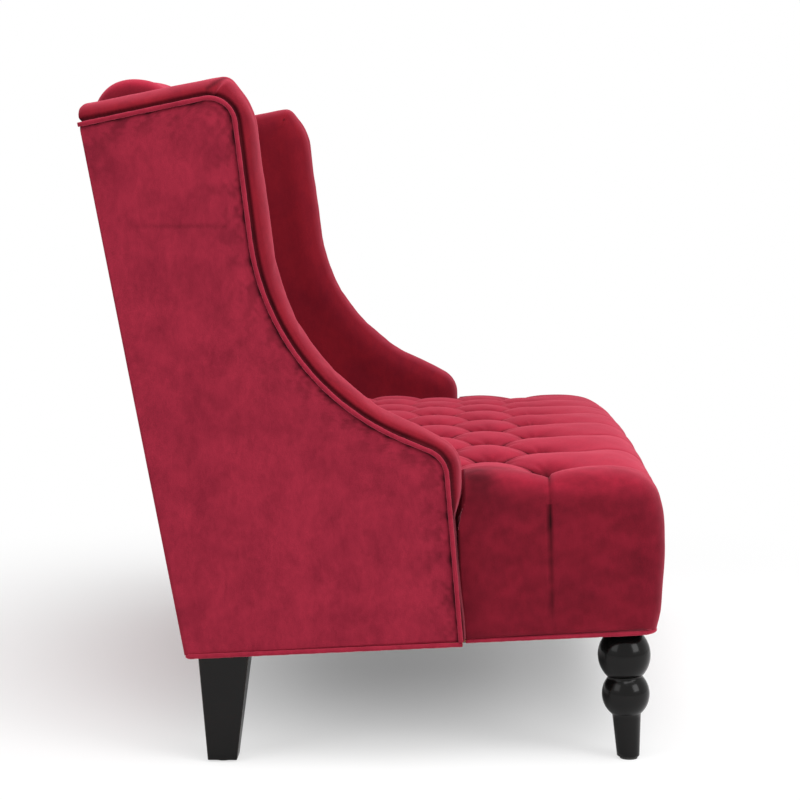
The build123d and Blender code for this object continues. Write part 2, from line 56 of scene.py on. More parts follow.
HALF = 635.0                       # half the width over the side welts
PAD_OUTER = 628.4                  # outer face of a wing's cover, under the side panel
PLY_INNER = 604.0                  # inner face of a wing's plywood
PAD_INNER = 543.0                  # inner face of an arm
BETWEEN_ARMS = 542.7               # half the run of the seat and the back between the arms
BASE_TILT = radians(2.89)
BASE_HEIGHT = 173.8
RECLINE = radians(10.55)
REAR_FOOT = (274.5, 159.9)         # lower end of the outside back, y and z
WELT_RADIUS = 3.3
WELT_TOP = 2 * WELT_RADIUS
FELT_LEVEL = 71.5                  # just above the webbing and felt on the seat frame
FRAME_FRONT = -405.9               # front of the front rail
FRAME_REAR = 264.0
FRAME_CORNER = 30.0

# side views, y and z, from the foot up the front and over the top to the rear
PANEL_CORNERS = ((-133.0, 184.0), (-107.5, 459.0), (146.5, 564.0), (197.5, 981.5), (420.7, 935.2))
PANEL_RADII = (45.0, 356.0, 41.0)
PAD_CORNERS = (
    (-133.5, 189.0), (-115.8, 366.0), (-126.5, 402.0), (-126.5, 467.0),
    (124.6, 590.4), (171.5, 956.0), (207.5, 1004.5), (424.6, 961.5),
)
PAD_RADII = (40.0, 40.0, 45.0, 324.0, 90.0, 15.0)
REAR_DEPTH = 0.8                   # the band's rear end, over the top of the outside back's cloth
REAR_TOP_RADIUS = 8.0              # where a wing's band turns down behind
MITRE_AT = (211.0, 1004.0)         # where the band's seam turns over the top of a wing, y and z
MITRE_FOLD = np.array(((234.5, 984.0), (211.0, 1003.0)))
CREASE_AT = (272.0, 788.5)         # a faint line pressed across a side panel, y and z
PANEL_INSET = WELT_TOP - 1.2       # a side panel's edge, in under its welt

HALF_PITCH = 75.0                  # tufts stand half a pitch apart along the settee from row to row
ROW_STEP = 83.0
ROWS = 5
LAST_COLUMN = 7
DIAMOND = 55.0                     # from the middle of a puff to its pleat
PLEAT_DEPTH = 15.0
PIT_DEPTH = 26.0
PIT_WELL = 17.0                    # extra depth at the tuft itself
PIT_RADIUS = 10.5
DIMPLE = 8.0                       # the tuft also draws in the lips of the puffs around it
DIMPLE_RADIUS = 25.0
ROW_LINES = 24                     # mesh rows from one row of tufts to the next
COLUMN_LINES = 24                  # mesh columns in one half pitch

SEAT_HALF = 611.0
SEAT_CREST = 452.0
SEAT_CROWN = 20.0
SEAT_CROWN_AT = 565.0
SEAT_FRONT = -424.5
SEAT_FIRST_ROW = -256.0
SEAT_FADE = (105.0, 200.0, 62.0)   # how far a pleat runs on before, after and beside the tufts
PUCKER_AT = (-404.0, 364.0)        # creases where an ear's front corner is folded, y and z
EAR_REAR = -134.6                  # rear of the seat's ears, close in front of the arms
SEAT_KNOTS = (
    (-416.0, 201.4), (-421.5, 232.0), (-424.5, 290.0), (-425.5, 340.0), (-425.0, 376.0),
    (-421.5, 402.0), (-413.5, 423.0), (-399.5, 439.0), (-378.0, 449.5), (-348.0, 454.0),
    (-305.0, 454.0), (-256.0, 452.0),
    (-150.0, 452.0), (0.0, 452.0), (130.0, 451.0), (170.0, 448.0),
)

BACK_FIRST_ROW = 731.0
BACK_FADE = (120.0, 60.0, 60.0)
BACK_CLOTH = 5.0
BACK_CLOTH_TOP = 789.0
BACK_POCKET = 49.5                 # depth of the back's frame and webbing
BACK_RAIL_TOP = 762.5
BACK_KNOTS = (                     # depth forward of the outside back, and rise up its slope
    (BACK_CLOTH, 789.0), (9.0, 812.0), (22.0, 833.0), (40.0, 846.0), (60.0, 850.5), (84.0, 848.0),
    (110.0, 838.0), (132.0, 819.0), (145.5, 790.0), (149.5, 760.0), (150.0, 731.0),
    (150.0, 600.0), (150.0, 480.0), (150.0, 399.0), (149.0, 330.0), (148.0, 290.0), (148.0, 250.0),
)

WING_STEP = 6.0                    # the wing's mesh before it is subdivided
SWELL = 1.0                        # the padding starts this much smaller and the simulation fills it out
SWELL_CAP = 3.0
SWELL_FRAMES = 20

LEG_AT = (566.0, -368.0)           # x, and y along the base, of a front leg's axis
LEG_TOP_RADIUS = 21.0
BALLS = ((38.8, 161.0), (35.3, 96.0))          # radius, and height above the floor along the axis
NECKS = ((25.2, 123.5), (21.2, 67.5))
FOOT_RADIUS = 16.5
FOOT_LEVEL = 3.0                   # the glide's top

WEB_MIDDLE = 65.2                  # level between the seat's two layers of straps, above the base
BACK_WEB_MIDDLE = 47.0             # and the same in the back, forward of the outside back
WEB_RISE = 0.95
WEB_THICK = 1.4
WEB_WIDTH = 50.0

# depths for the fold attribute, by which velvet is painted darker in its folds
FOLD_SCALES = ((6, 0.0030), (34, 0.0110))      # rounds of evening out, and the depth in metres that is deep


# ---------------------------------------------------------------- levels, lines and meshes

def base_z(y, lift=0.0):
    """Height of the tilted underside of the base at y, or of the level that is lift above it."""
    return BASE_HEIGHT - y * tan(BASE_TILT) + lift / cos(BASE_TILT)


def over_base(y, rise):
    """Height of the place that is rise straight up from the underside of the base at y."""
    return BASE_HEIGHT - y * tan(BASE_TILT) + rise


def back_point(depth, rise):
    """Side view point (y, z) for a depth forward of the outside back and a rise up its slope."""
    y = REAR_FOOT[0] - depth * cos(RECLINE) + rise * sin(RECLINE)
    z = REAR_FOOT[1] + depth * sin(RECLINE) + rise * cos(RECLINE)
    return y, z


def on_back(y, z):
    """Depth and rise of a side view point, the other way round from back_point."""
    ahead, up = REAR_FOOT[0] - y, z - REAR_FOOT[1]
    return ahead * cos(RECLINE) + up * sin(RECLINE), up * cos(RECLINE) - ahead * sin(RECLINE)


def rise_of_base(depth, lift):
    """How far up the back's slope, at this depth, the level lies that is lift above the base."""
    y, z = back_point(depth, 0)
    return (base_z(y, lift) - z) / (cos(RECLINE) + sin(RECLINE) * tan(BASE_TILT))


def unit(value):
    """The value held between 0 and 1."""
    return np.clip(value, 0, 1)


def bell(value, width, power=2):
    """1 where an even power's value is 0, falling away to both sides over width."""
    return np.exp(-((value / width) ** power))


def smooth_line(knots, step):
    """Points about step apart on a smooth line through the knots."""
    knots = [Vector((*k, 0.0)) for k in knots]
    knots = [2 * knots[0] - knots[1], *knots, 2 * knots[-1] - knots[-2]]
    points = []
    for a, b, c, d in zip(knots, knots[1:], knots[2:], knots[3:]):
        run = (c - b).length
        enter = (c - a) * (run / ((c - b).length + (b - a).length))
        leave = (d - b) * (run / ((d - c).length + (c - b).length))
        count = max(2, round(run / step))
        for i in range(count):
            t = i / count
            points.append(
                b * (2 * t**3 - 3 * t**2 + 1) + enter * (t**3 - 2 * t**2 + t)
                + c * (3 * t**2 - 2 * t**3) + leave * (t**3 - t**2)
            )
    points.append(knots[-2])
    return np.array([(p.x, p.y) for p in points])


def rounded_line(corners, radii, step):
    """Points about step apart along straight runs whose corners are rounded to the radii."""
    corners = [np.array(c, float) for c in corners]
    points = [corners[0]]
    for before, corner, after, radius in zip(corners, corners[1:], corners[2:], radii):
        into = (corner - before) / np.linalg.norm(corner - before)
        out = (after - corner) / np.linalg.norm(after - corner)
        turn = np.arctan2(into[0] * out[1] - into[1] * out[0], into @ out)
        start = corner - into * radius * tan(abs(turn) / 2)
        side = np.array((-into[1], into[0])) * (1 if turn > 0 else -1)
        count = max(6, round(abs(turn) * radius / step))
        for angle in np.linspace(0, abs(turn), count + 1):
            points.append(start + into * radius * sin(angle) + side * radius * (1 - cos(angle)))
    points.append(corners[-1])
    return respaced(np.array(points), step)


def lengths_along(points):
    """Distance from the first point to each point of a line."""
    return np.concatenate(([0.0], np.cumsum(np.linalg.norm(np.diff(points, axis=0), axis=1))))


def at_lengths(points, lengths):
    """Points of a line at these distances from its start."""
    along = lengths_along(points)
    return np.stack([np.interp(lengths, along, column) for column in points.T], axis=1)


def respaced(points, step):
    """The same line with points an even distance apart, about step."""
    total = lengths_along(points)[-1]
    return at_lengths(points, np.linspace(0, total, max(2, round(total / step)) + 1))


def runs_of(points):
    """Unit directions of a line at each of its points."""
    run = np.gradient(points, axis=0)
    return run / np.linalg.norm(run, axis=1)[:, None]


def normals_of(points):
    """Unit normals to the left of a side view line, at each of its points."""
    run = runs_of(points)
    return np.stack((-run[:, 1], run[:, 0]), axis=1)


class Mesher:
    """Collects grids and polygons of one piece, in millimetres, and turns them into an object."""

    def __init__(self):
        self.points = []
        self.count = 0
        self.faces = []

    def add(self, points):
        """Add points of any grid shape and return their numbers in the same shape."""
        points = np.asarray(points, float)
        numbers = np.arange(self.count, self.count + points[..., 0].size).reshape(points.shape[:-1])
        self.points.append(points.reshape(-1, 3))
        self.count += numbers.size
        return numbers

    def skin(self, grid):
        """Quads between neighbouring rows and columns of numbers."""
        quads = np.stack((grid[:-1, :-1], grid[:-1, 1:], grid[1:, 1:], grid[1:, :-1]), axis=-1)
        self.faces.extend(quads.reshape(-1, 4).tolist())

    def tube(self, rings):
        """Quads between neighbouring rings of numbers."""
        self.skin(np.hstack((rings, rings[:, :1])))

    def rim(self, front, back):
        """Quads that join the edges of two sheets of numbers."""
        for edge in (np.s_[0], np.s_[-1], np.s_[:, 0], np.s_[:, -1]):
            self.skin(np.vstack((front[edge], back[edge])))

    def face(self, numbers):
        """One polygon through these numbers, without repeats."""
        self.faces.append([int(n) for i, n in enumerate(numbers) if n != numbers[i - 1]])

    def build(self, name, mirrored=False):
        """The finished object; mirrored makes the piece of the other side."""
        points = np.vstack(self.points) * 0.001
        if mirrored:
            points[:, 0] *= -1
        mesh = bpy.data.meshes.new(name)
        mesh.from_pydata(points.tolist(), [], self.faces)
        bm = bmesh.new()
        bm.from_mesh(mesh)
        bmesh.ops.remove_doubles(bm, verts=bm.verts, dist=0.00002)
        bmesh.ops.dissolve_degenerate(bm, edges=bm.edges, dist=0.00001)
        bmesh.ops.triangulate(bm, faces=[f for f in bm.faces if len(f.verts) > 4])
        loose = [v for v in bm.verts if not v.link_faces]
        bmesh.ops.delete(bm, geom=loose, context="VERTS")
        bmesh.ops.recalc_face_normals(bm, faces=bm.faces)
        bm.to_mesh(mesh)
        bm.free()
        mesh.shade_smooth()
        return placed(name, mesh)


def placed(name, data):
    """A new object with this data, in the scene."""
    thing = bpy.data.objects.new(name, data)
    bpy.context.scene.collection.objects.link(thing)
    return thing


def read(mesh, what="co"):
    """A mesh's points, or their normals, in metres."""
    values = np.empty(len(mesh.vertices) * 3)
    mesh.vertices.foreach_get(what, values)
    return values.reshape(-1, 3)


def soft_noise(points, size, seed):
    """Smooth noise from -1 to 1 over points, its patches about size across, the same on every run."""
    rng = np.random.default_rng(seed)
    total = np.zeros(points.shape[:-1])
    for _ in range(14):
        heading = rng.normal(size=points.shape[-1])
        heading *= 2 * pi / (size * np.linalg.norm(heading) * rng.uniform(0.7, 1.6))
        total += np.sin(points @ heading + rng.uniform(0, 2 * pi))
    return total / 5.0


def rough(points, seed, *layers):
    """Soft noises laid over each other, seeded one after another; each layer is a size and a height."""
    return sum(soft_noise(points, size, seed + k) * high for k, (size, high) in enumerate(layers))


def with_grid(x, side):
    """Points with this x (one for each column) and side view places y, z for each row and column."""
    return np.stack((np.broadcast_to(x, side.shape[:-1]), side[..., 0], side[..., 1]), axis=-1)


# ---------------------------------------------------------------- tufting

def puff(part):
    """Height across a puff, 0 at its pleat and 1 at its middle."""
    return (1 - (1 - unit(part)) ** 2.1) ** (1 / 1.75)


def soft_foot(part, width):
    """The same distance across a puff, rounded out over width where it starts."""
    return np.hypot(part, width) - width


def off_odd(value):
    """How far a value is from the nearest odd whole number, from 0 to 1."""
    return np.abs(value % 2 - 1)


def tuft_depth(x, along, odd_first, fade):
    """How far the cloth is drawn in at x along the settee and at a distance past the first row.

    fade gives the distances over which a pleat that runs on past the tufting dies away: before the
    first row, after the last row and at the ends."""
    p, q = x / HALF_PITCH, along / ROW_STEP
    p_in, q_in = np.clip(p, -LAST_COLUMN, LAST_COLUMN), np.clip(q, 0, ROWS - 1)
    over_p, before, after = np.abs(p - p_in), np.maximum(-q, 0), np.maximum(q - ROWS + 1, 0)
    over_q = before + after
    shift = 0 if odd_first else 1
    spread = 1.5 * np.sqrt(over_p * over_q)
    d1 = np.minimum(off_odd(p_in + q_in + shift) + spread, 1)
    d2 = np.minimum(off_odd(p_in - q_in + shift) + spread, 1)
    near_pit = (1 - np.maximum(d1, d2)) ** 2 / (1 + 6 * (over_p + over_q))
    valley = PLEAT_DEPTH + (PIT_DEPTH - PLEAT_DEPTH) * near_pit
    slack = 0.015 + 0.075 * unit(np.maximum(d1, d2)) ** 1.5
    drawn = valley * (1 - puff(soft_foot(d1, slack)) * puff(soft_foot(d2, slack)))
    away = (d1**2 + d2**2) * DIAMOND**2 + (over_p * HALF_PITCH) ** 2 + (over_q * ROW_STEP) ** 2
    well = PIT_WELL * np.exp(-away / PIT_RADIUS**2) + DIMPLE * np.exp(-away / DIMPLE_RADIUS**2)
    spokes = 8 * np.arctan2(d1 - d2, d1 + d2 - 0.35) + 2.0 * np.sin(x / 31.0) + 2.0 * np.sin(along / 23.0)
    ripples = 2.8 * np.cos(spokes) * np.exp(-away / 30.0**2) * (1 - np.exp(-away / 9.0**2))
    dying = bell(before * ROW_STEP, fade[0]) * bell(after * ROW_STEP, fade[1]) * bell(over_p * HALF_PITCH, fade[2])
    seam = 2.4 * bell(np.minimum(d1, d2) * DIAMOND, 3.2) * np.minimum(1, 3 * (over_p + over_q))
    return (drawn + ripples) * dying + well + seam * (1 - dying)


def tufted_profile(knots, first_row):
    """Side view of a tufted form before tufting: points, normals and distance past the first row.

    first_row finds how far along the line its first row of tufts is."""
    line = smooth_line(knots, 1.0)
    lengths = lengths_along(line)
    first = first_row(line, lengths)
    step = ROW_STEP / ROW_LINES
    along = np.arange(-int(first / step), int((lengths[-1] - first) / step) + 1) * step
    along[0] = -first
    points = at_lengths(line, along + first)
    return points, normals_of(points), along


def tufted_columns():
    """Places of the mesh's columns from arm to arm, so that pleats and tufts fall on them."""
    step = HALF_PITCH / COLUMN_LINES
    count = int(BETWEEN_ARMS / step)
    return np.concatenate(([-BETWEEN_ARMS], np.arange(-count, count + 1) * step, [BETWEEN_ARMS]))


# ---------------------------------------------------------------- seat

def seat_level(side, x):
    """Lower the side view points towards the ends of the seat, where its crown falls."""
    floor = base_z(side[..., 0])
    fall = SEAT_CROWN * (x / SEAT_CROWN_AT) ** 2
    share = unit((side[..., 1] - floor) / (SEAT_CREST - floor))
    return np.stack((side[..., 0], side[..., 1] - fall * share), axis=-1)


def seat_under(x, rear, ear):
    """Hidden line of the underside at x, from below the rear edge round the frame to the front foot."""
    low = WELT_TOP - 3.0
    top = FELT_LEVEL if not ear or abs(x) < PLY_INNER - 4 else low
    front = FRAME_FRONT - 0.5
    return [(rear, base_z(rear, top)), (front, base_z(FRAME_FRONT, top)), (front, base_z(FRAME_FRONT, low))]


def make_seat_mesh():
    """The tufted seat: a main run between the arms and two ears that pass in front of them."""
    piece = Mesher()
    profile, normals, along = tufted_profile(
        SEAT_KNOTS, lambda line, lengths: np.interp(SEAT_FIRST_ROW, line[:, 0], lengths))
    x = tufted_columns()
    side = seat_level(np.repeat(profile[:, None], len(x), axis=1), x[None])
    drawn = tuft_depth(x[None], along[:, None], True, SEAT_FADE)
    grid = with_grid(x[None], side - normals[:, None] * drawn[..., None])
    grid[..., 1:] += normals[:, None] * rough(grid, 11, (90.0, 0.7), (34.0, 0.35))[..., None]
    rows = piece.add(grid)
    piece.skin(rows)
    under = piece.add([[(at, *p) for at in x] for p in seat_under(0.0, grid[-1, 0, 1], False)])
    piece.skin(np.vstack((rows[-1:], under, rows[:1])))

    ear_rows = int(np.searchsorted(profile[:, 0], -130.0))
    corner_row = int(np.searchsorted(profile[:, 0], -400.0))
    parts = profile[:ear_rows], normals[:ear_rows], along[:ear_rows]
    for sign, edge in ((-1, 0), (1, -1)):
        ear_under = make_ear(piece, sign, rows[:ear_rows, edge], *parts, corner_row)
        piece.face([*rows[ear_rows - 1:, edge], *under[:2, edge], *ear_under])
    return piece


def make_ear(piece, sign, inner, base, out, along, corner_row):
    """One ear of the seat: its rounded end, flat side, rear face and underside."""
    flat, bend = 8, 14                 # mesh columns before the end's bend, and in it
    round_in = (27.0 + 15.0 * unit((base[:, 1] - 330.0) / 90.0))[:, None]
    reach = round_in * 1.12
    bend_at = SEAT_HALF - reach
    angles = np.linspace(0, pi / 2, bend + 1)[None, 1:]
    start = BETWEEN_ARMS + (bend_at - BETWEEN_ARMS) * np.linspace(0, 1, flat + 1)[None, 1:]
    x = np.hstack((start, bend_at + reach * np.sin(angles)))
    drop = np.hstack((np.zeros_like(start), round_in * (1 - np.cos(angles))))
    length = np.hstack((start, bend_at + reach * angles * 0.9))
    lean = np.hstack((np.zeros((1, flat)), np.sin(angles)))
    drawn = tuft_depth(length, along[:, None], True, SEAT_FADE)
    side = seat_level(np.repeat(base[:, None], x.shape[1], axis=1), x)
    side = side - out[:, None] * (drop + drawn * np.sqrt(1 - lean**2))[..., None]
    side[..., 1] = np.maximum(side[..., 1], over_base(side[..., 0], WELT_TOP))
    grid = with_grid(sign * (x - drawn * lean), side)
    wander = soft_noise(grid, 80.0, 13 + sign) * 0.7
    grid[..., 1:] += out[:, None] * wander[..., None] * (1 - lean[..., None])
    numbers = np.hstack((inner[:, None], piece.add(grid)))
    piece.skin(numbers)

    # side face: a grid between the front edge, the top edge, the rear edge and the foot
    front, top = grid[: corner_row + 1, -1], grid[corner_row:, -1]
    rear_foot = np.array((sign * SEAT_HALF, EAR_REAR, base_z(EAR_REAR, WELT_TOP)))
    heights = (front[:, 2] - front[0, 2]) / (front[-1, 2] - front[0, 2])
    rear_edge = rear_foot + (top[-1] - rear_foot) * heights[:, None]
    arm = pad_outline(4.0)
    arm = arm[: int(np.argmax(arm[:, 1] > SEAT_CREST)) + 1]
    follow = np.interp(rear_edge[:, 2], arm[:, 1], arm[:, 0]) - 0.3
    rear_edge[1:-1, 1] = (follow + (top[-1, 1] - follow[-1]) * heights ** 3)[1:-1]
    runs = (top[:, 1] - top[0, 1]) / (top[-1, 1] - top[0, 1])
    foot_edge = front[0] + (rear_foot - front[0]) * runs[:, None]
    v, u = heights[:, None, None], runs[None, :, None]
    face = (
        front[:, None] * (1 - u) + rear_edge[:, None] * u + foot_edge[None] * (1 - v) + top[None] * v
        - (front[0] * (1 - u) * (1 - v) + rear_foot * u * (1 - v) + front[-1] * (1 - u) * v + top[-1] * u * v)
    )
    # the front and top edges meet at a flat angle, so the grid's corner there is evened out
    there = np.add.outer((np.arange(len(front)) - len(front) + 1) ** 2, np.arange(len(top)) ** 2)
    even = np.exp(-there / 12.0**2)[1:-1, 1:-1, None]
    for _ in range(40):
        around = (face[:-2, 1:-1] + face[2:, 1:-1] + face[1:-1, :-2] + face[1:-1, 2:]) / 4
        face[1:-1, 1:-1] += even * (around - face[1:-1, 1:-1])

    # a seam runs down from the first row of tufts, and creases gather at the front corner
    v, u = v[..., 0], u[..., 0]
    column = int(np.argmin(np.abs(along[corner_row:])))
    seam_y = top[column, 1] - 5.0 * (1 - v)
    pull = bell(np.arange(len(top)) - column, 4.0)
    face[..., 1] += (seam_y - face[:, column:column + 1, 1]) * pull[None]
    off = face[..., 1] - seam_y
    room = unit(np.minimum(np.minimum(u, 1 - u), np.minimum(v, 1 - v)) * 9)
    bulge = 3.4 * np.sin(pi * u) * np.sin(pi * v)
    seam = 0.22 * bell(off, 1.2) + 0.1 * bell(off, 9.0) + bell(off, 26.0) * np.exp(-(1 - v) * 6.0)
    from_y, from_z = face[..., 1] - PUCKER_AT[0], face[..., 2] - PUCKER_AT[1]
    crease = sum(bell(from_z - 9.0 * k - slope * from_y, 4.2) for k, slope in enumerate((-0.5, -0.1, 0.35)))
    crease = 1.5 * crease * bell(from_y, 19.0) * bell(from_z, 26.0)
    face[..., 0] += sign * room * (bulge - seam - crease + rough(face, 31, (70.0, 0.9), (26.0, 0.35)))
    sides = np.zeros(face.shape[:2], int)
    middle = piece.add(face[1:-1, 1:-1])
    sides[:, 0] = numbers[: corner_row + 1, -1]
    sides[-1, :] = numbers[corner_row:, -1]
    sides[:-1, -1] = piece.add(face[:-1, -1])
    sides[0, 1:-1] = piece.add(face[0, 1:-1])
    sides[1:-1, 1:-1] = middle
    piece.skin(sides)

    # rear face against the arm, and the underside over the frame's ear
    places = [BETWEEN_ARMS, PLY_INNER - 4.5, PLY_INNER - 3.5]
    under = [piece.add([(sign * at, *p) for p in seat_under(at, EAR_REAR, True)]) for at in places]
    rear_top = numbers[-1]
    columns = [0, *(int(np.argmin(np.abs(np.abs(grid[-1, :, 0]) - at))) + 1 for at in places[1:])]
    for a, b, here, there in zip(columns, columns[1:], under, under[1:]):
        piece.face([*rear_top[a:b + 1], there[0], here[0]])
        for i in range(2):
            piece.face([here[i], there[i], there[i + 1], here[i + 1]])
        piece.face([here[2], there[2], *numbers[0, a:b + 1][::-1]])
    edge, last = columns[2], under[2]
    piece.face([*rear_top[edge:], *sides[:-1, -1][::-1], last[0]])
    piece.face([last[0], *sides[0, ::-1], *numbers[0, edge:-1][::-1], last[2], last[1]])
    return [under[0][1], under[0][0]]


# ---------------------------------------------------------------- inside back

def make_back_mesh():
    """The tufted inside back, rolled over the top rail, with its ends against the wings."""
    piece = Mesher()
    on_front = 120.0                   # the first row is on the line's front part, deeper than this
    profile, normals, along = tufted_profile(BACK_KNOTS, lambda line, lengths: lengths[
        int(np.argmin(np.abs(line[:, 1] - BACK_FIRST_ROW) + (line[:, 0] < on_front) * 999))])
    x = tufted_columns()
    drawn = tuft_depth(x[None], along[:, None], False, BACK_FADE)
    ending = unit((np.abs(x) - BETWEEN_ARMS + 22.0) / 22.0)
    crown = 7.0 * (x / PAD_INNER) ** 2 + 20.0 * (1 - np.sqrt(1 - ending**2))
    above = unit((profile[:, 1] - 600.0) / 200.0)
    thinner = 10.0 * np.abs(x / PAD_INNER) ** 3
    thinner = thinner[None] * unit((profile[:, 0] - 60.0) / 80.0)[:, None]
    side = profile[:, None] - np.stack((thinner, above[:, None] * crown[None]), axis=-1)
    side = side - normals[:, None] * drawn[..., None]
    grid = with_grid(x[None], np.stack(back_point(side[..., 0], side[..., 1]), axis=-1))
    wander = rough(grid, 21, (85.0, 0.8), (33.0, 0.35)) * np.clip(along[:, None] - along[0], 0, 40) / 40
    grid[..., 1] -= wander * cos(RECLINE)
    rows = piece.add(grid)
    rear = [
        (148.0, rise_of_base(148.0, FELT_LEVEL)), (BACK_POCKET, rise_of_base(BACK_POCKET, FELT_LEVEL)),
        (BACK_POCKET, BACK_RAIL_TOP), (BACK_CLOTH + 0.3, BACK_RAIL_TOP),
    ]
    hidden = piece.add([[(at, *back_point(*p)) for at in x] for p in rear])
    piece.skin(np.vstack((rows, hidden, rows[:1])))
    for edge in (0, -1):
        piece.face([*rows[:, edge], *hidden[:, edge]])
    return piece


# ---------------------------------------------------------------- arms, wings and side panels

def pad_outline(step):
    """Outer edge of the band that frames the arm and the wing, from its foot to the wing's rear top."""
    ahead, rear = np.array(PAD_CORNERS[-2]), np.array(PAD_CORNERS[-1])
    depths = [on_back(*corner)[0] for corner in (ahead, rear)]
    top = ahead + (rear - ahead) * (depths[0] - REAR_DEPTH) / (depths[0] - depths[1])
    down = np.array((-sin(RECLINE), -cos(RECLINE)))
    foot = np.array((PAD_CORNERS[0][0], base_z(PAD_CORNERS[0][0], WELT_TOP)))
    corners = [foot, *PAD_CORNERS[1:-1], top, top + down * 60]
    line = rounded_line(corners, (*PAD_RADII, REAR_TOP_RADIUS), 1.0)
    line = at_lengths(line, np.linspace(0, lengths_along(line)[-1] - 33.0, 900))
    return respaced(line, step)


def panel_outline(step, inset):
    """Front and top edge of a side panel, from the base to the outside back."""
    ahead, rear = np.array(PANEL_CORNERS[-2]), np.array(PANEL_CORNERS[-1])
    foot = np.array((PANEL_CORNERS[0][0], base_z(PANEL_CORNERS[0][0])))
    beyond = rear + (rear - ahead) * 0.1
    line = rounded_line([foot - (0, 20), *PANEL_CORNERS[1:-1], beyond], PANEL_RADII, 1.0)
    line = line - normals_of(line) * inset
    kept = (on_back(*line.T)[0] > 0.6) & (line[:, 1] > over_base(line[:, 0], WELT_TOP))
    return respaced(line[kept], step)


def keep_clear(grid):
    """Hold points of a wing ahead of the outside back's cloth."""
    depth, rise = on_back(grid[..., 1], grid[..., 2])
    least = np.interp(rise, (BACK_CLOTH_TOP + 1.0, BACK_CLOTH_TOP + 5.0), (BACK_CLOTH + 0.3, REAR_DEPTH))
    short = np.maximum(least - depth, 0)
    grid[..., 1] -= short * cos(RECLINE)
    grid[..., 2] += short * sin(RECLINE)


def keep_up(grid):
    """Hold points of a wing above the welt round the base."""
    grid[..., 2] = np.maximum(grid[..., 2], over_base(grid[..., 1], WELT_TOP))


def make_wing_mesh():
    """Left arm and wing: the rolled band, its inner face and the back of the padding."""
    piece = Mesher()
    outline = pad_outline(WING_STEP)
    out = normals_of(outline)
    along = lengths_along(outline)
    panel = panel_outline(1.5, 0.0)
    nearest = panel[np.linalg.norm(outline[:, None] - panel[None], axis=2).argmin(axis=1)]
    apart = np.linalg.norm(outline - nearest, axis=1)
    turned = unit((apart - 2.0) / 6.0)[:, None]
    toward = turned * (nearest - outline) / np.maximum(apart, 0.01)[:, None] - (1 - turned) * out
    toward /= np.linalg.norm(toward, axis=1)[:, None]
    rim = np.maximum(apart + 1.0, 2.0)[:, None]
    outer_x = np.clip(rim * 1.3, 9.0, 34.0)
    inner_in, inner_x = 30.0, 32.0     # how far the inner roll reaches in from the outline, and across
    loose = unit(np.minimum(along - 330.0, along[-1] - 30.0 - along) / 60.0)[:, None]
    pressed_on = unit((along - 200.0) / 60.0)[:, None]
    crown = 0.3 + 0.9 * pressed_on + SWELL * loose

    # across the band: the outer roll, dipped beside the side welt, the flat middle and the inner roll
    turn = pi / 2 * np.linspace(0, 1, 13)[None] ** 1.3
    place = PAD_OUTER + 0.3 - outer_x * (1 - np.cos(turn))
    place -= 5.5 * bell(rim * np.sin(turn) - 5.0, 3.2) * unit((rim - 8.0) / 15.0)
    share = np.array((0.25, 0.5, 0.75))[None]
    middle_x = PAD_INNER + inner_x + (PAD_OUTER - outer_x - PAD_INNER - inner_x) * (1 - share)
    back_turn = np.repeat(np.linspace(pi / 2, 0, 9)[None], len(outline), axis=0)
    inset = np.hstack((
        rim * (1 - np.sin(turn)) + crown, crown - 2.2 * np.sin(pi * share),
        inner_in * (1 - np.sin(back_turn)) + crown,
    ))
    place = np.hstack((place, middle_x, PAD_INNER + inner_x * (1 - np.cos(back_turn))))
    heading = np.repeat(-out[:, None], inset.shape[1], axis=1)
    heading[:, : turn.shape[1]] = toward[:, None]
    grid = with_grid(-place, outline[:, None] + heading * inset[..., None])

    # unevenness, gathers beside the welt and the fold of the mitre
    band = np.arange(place.shape[1])
    wander = rough(grid, 41, (95.0, 0.8), (30.0, 0.3)) * np.sin(pi * band / band[-1])[None]
    gather = 0.35 * np.sin(along / 5.3 + 1.7 * np.sin(along / 37.0))[:, None] * np.exp(-band / 3.5)[None]
    mitre = along[int(np.argmin(np.hypot(*(outline - MITRE_AT).T)))]
    fold = 7.5 * bell(along[:, None] - mitre + (band - 12)[None] * 1.7, 5.5) * bell(band, 11.5, 6)[None]
    grid[..., 1:] += out[:, None] * (wander + gather - fold)[..., None]
    keep_up(grid)
    keep_clear(grid)
    numbers = piece.add(grid)
    piece.skin(numbers)

    # inner face, from the roll to the rear, and the padding's back over the posts
    inner = grid[:, -1, 1:]
    low = rise_of_base(8.0, WELT_TOP)
    rises = low + (BACK_CLOTH_TOP - 12 - low) * unit((along / along[-1] - 0.04) / 0.94) ** 1.25
    rear = np.stack(back_point(8.0, rises), axis=1)
    runs = np.linspace(0, 1, 19)[1:]
    face = with_grid(-PAD_INNER, inner[:, None] + (rear - inner)[:, None] * runs[None, :, None])
    face[..., 0] += soft_noise(face, 110.0, 43) * 0.5 * np.minimum(1, runs * 4)[None]
    keep_up(face)
    middle = piece.add(face)
    piece.skin(np.hstack((numbers[:, -1:], middle)))
    behind = face[:, [-1, 8, 2]].copy()
    behind[..., 0] = -(PAD_INNER + 9.0)
    behind[:, 2, 1:] = outline - out * 31.0
    wall = with_grid(-(PLY_INNER - 0.6), outline + toward * (rim + crown))
    closing = np.concatenate((behind, wall[:, None]), axis=1)
    keep_clear(closing)
    keep_up(closing)
    lining = piece.add(closing)
    piece.skin(np.hstack((middle[:, -1:], lining, numbers[:, :1])))
    for row in (0, -1):
        piece.face([*numbers[row], *middle[row], *lining[row]])
    return piece


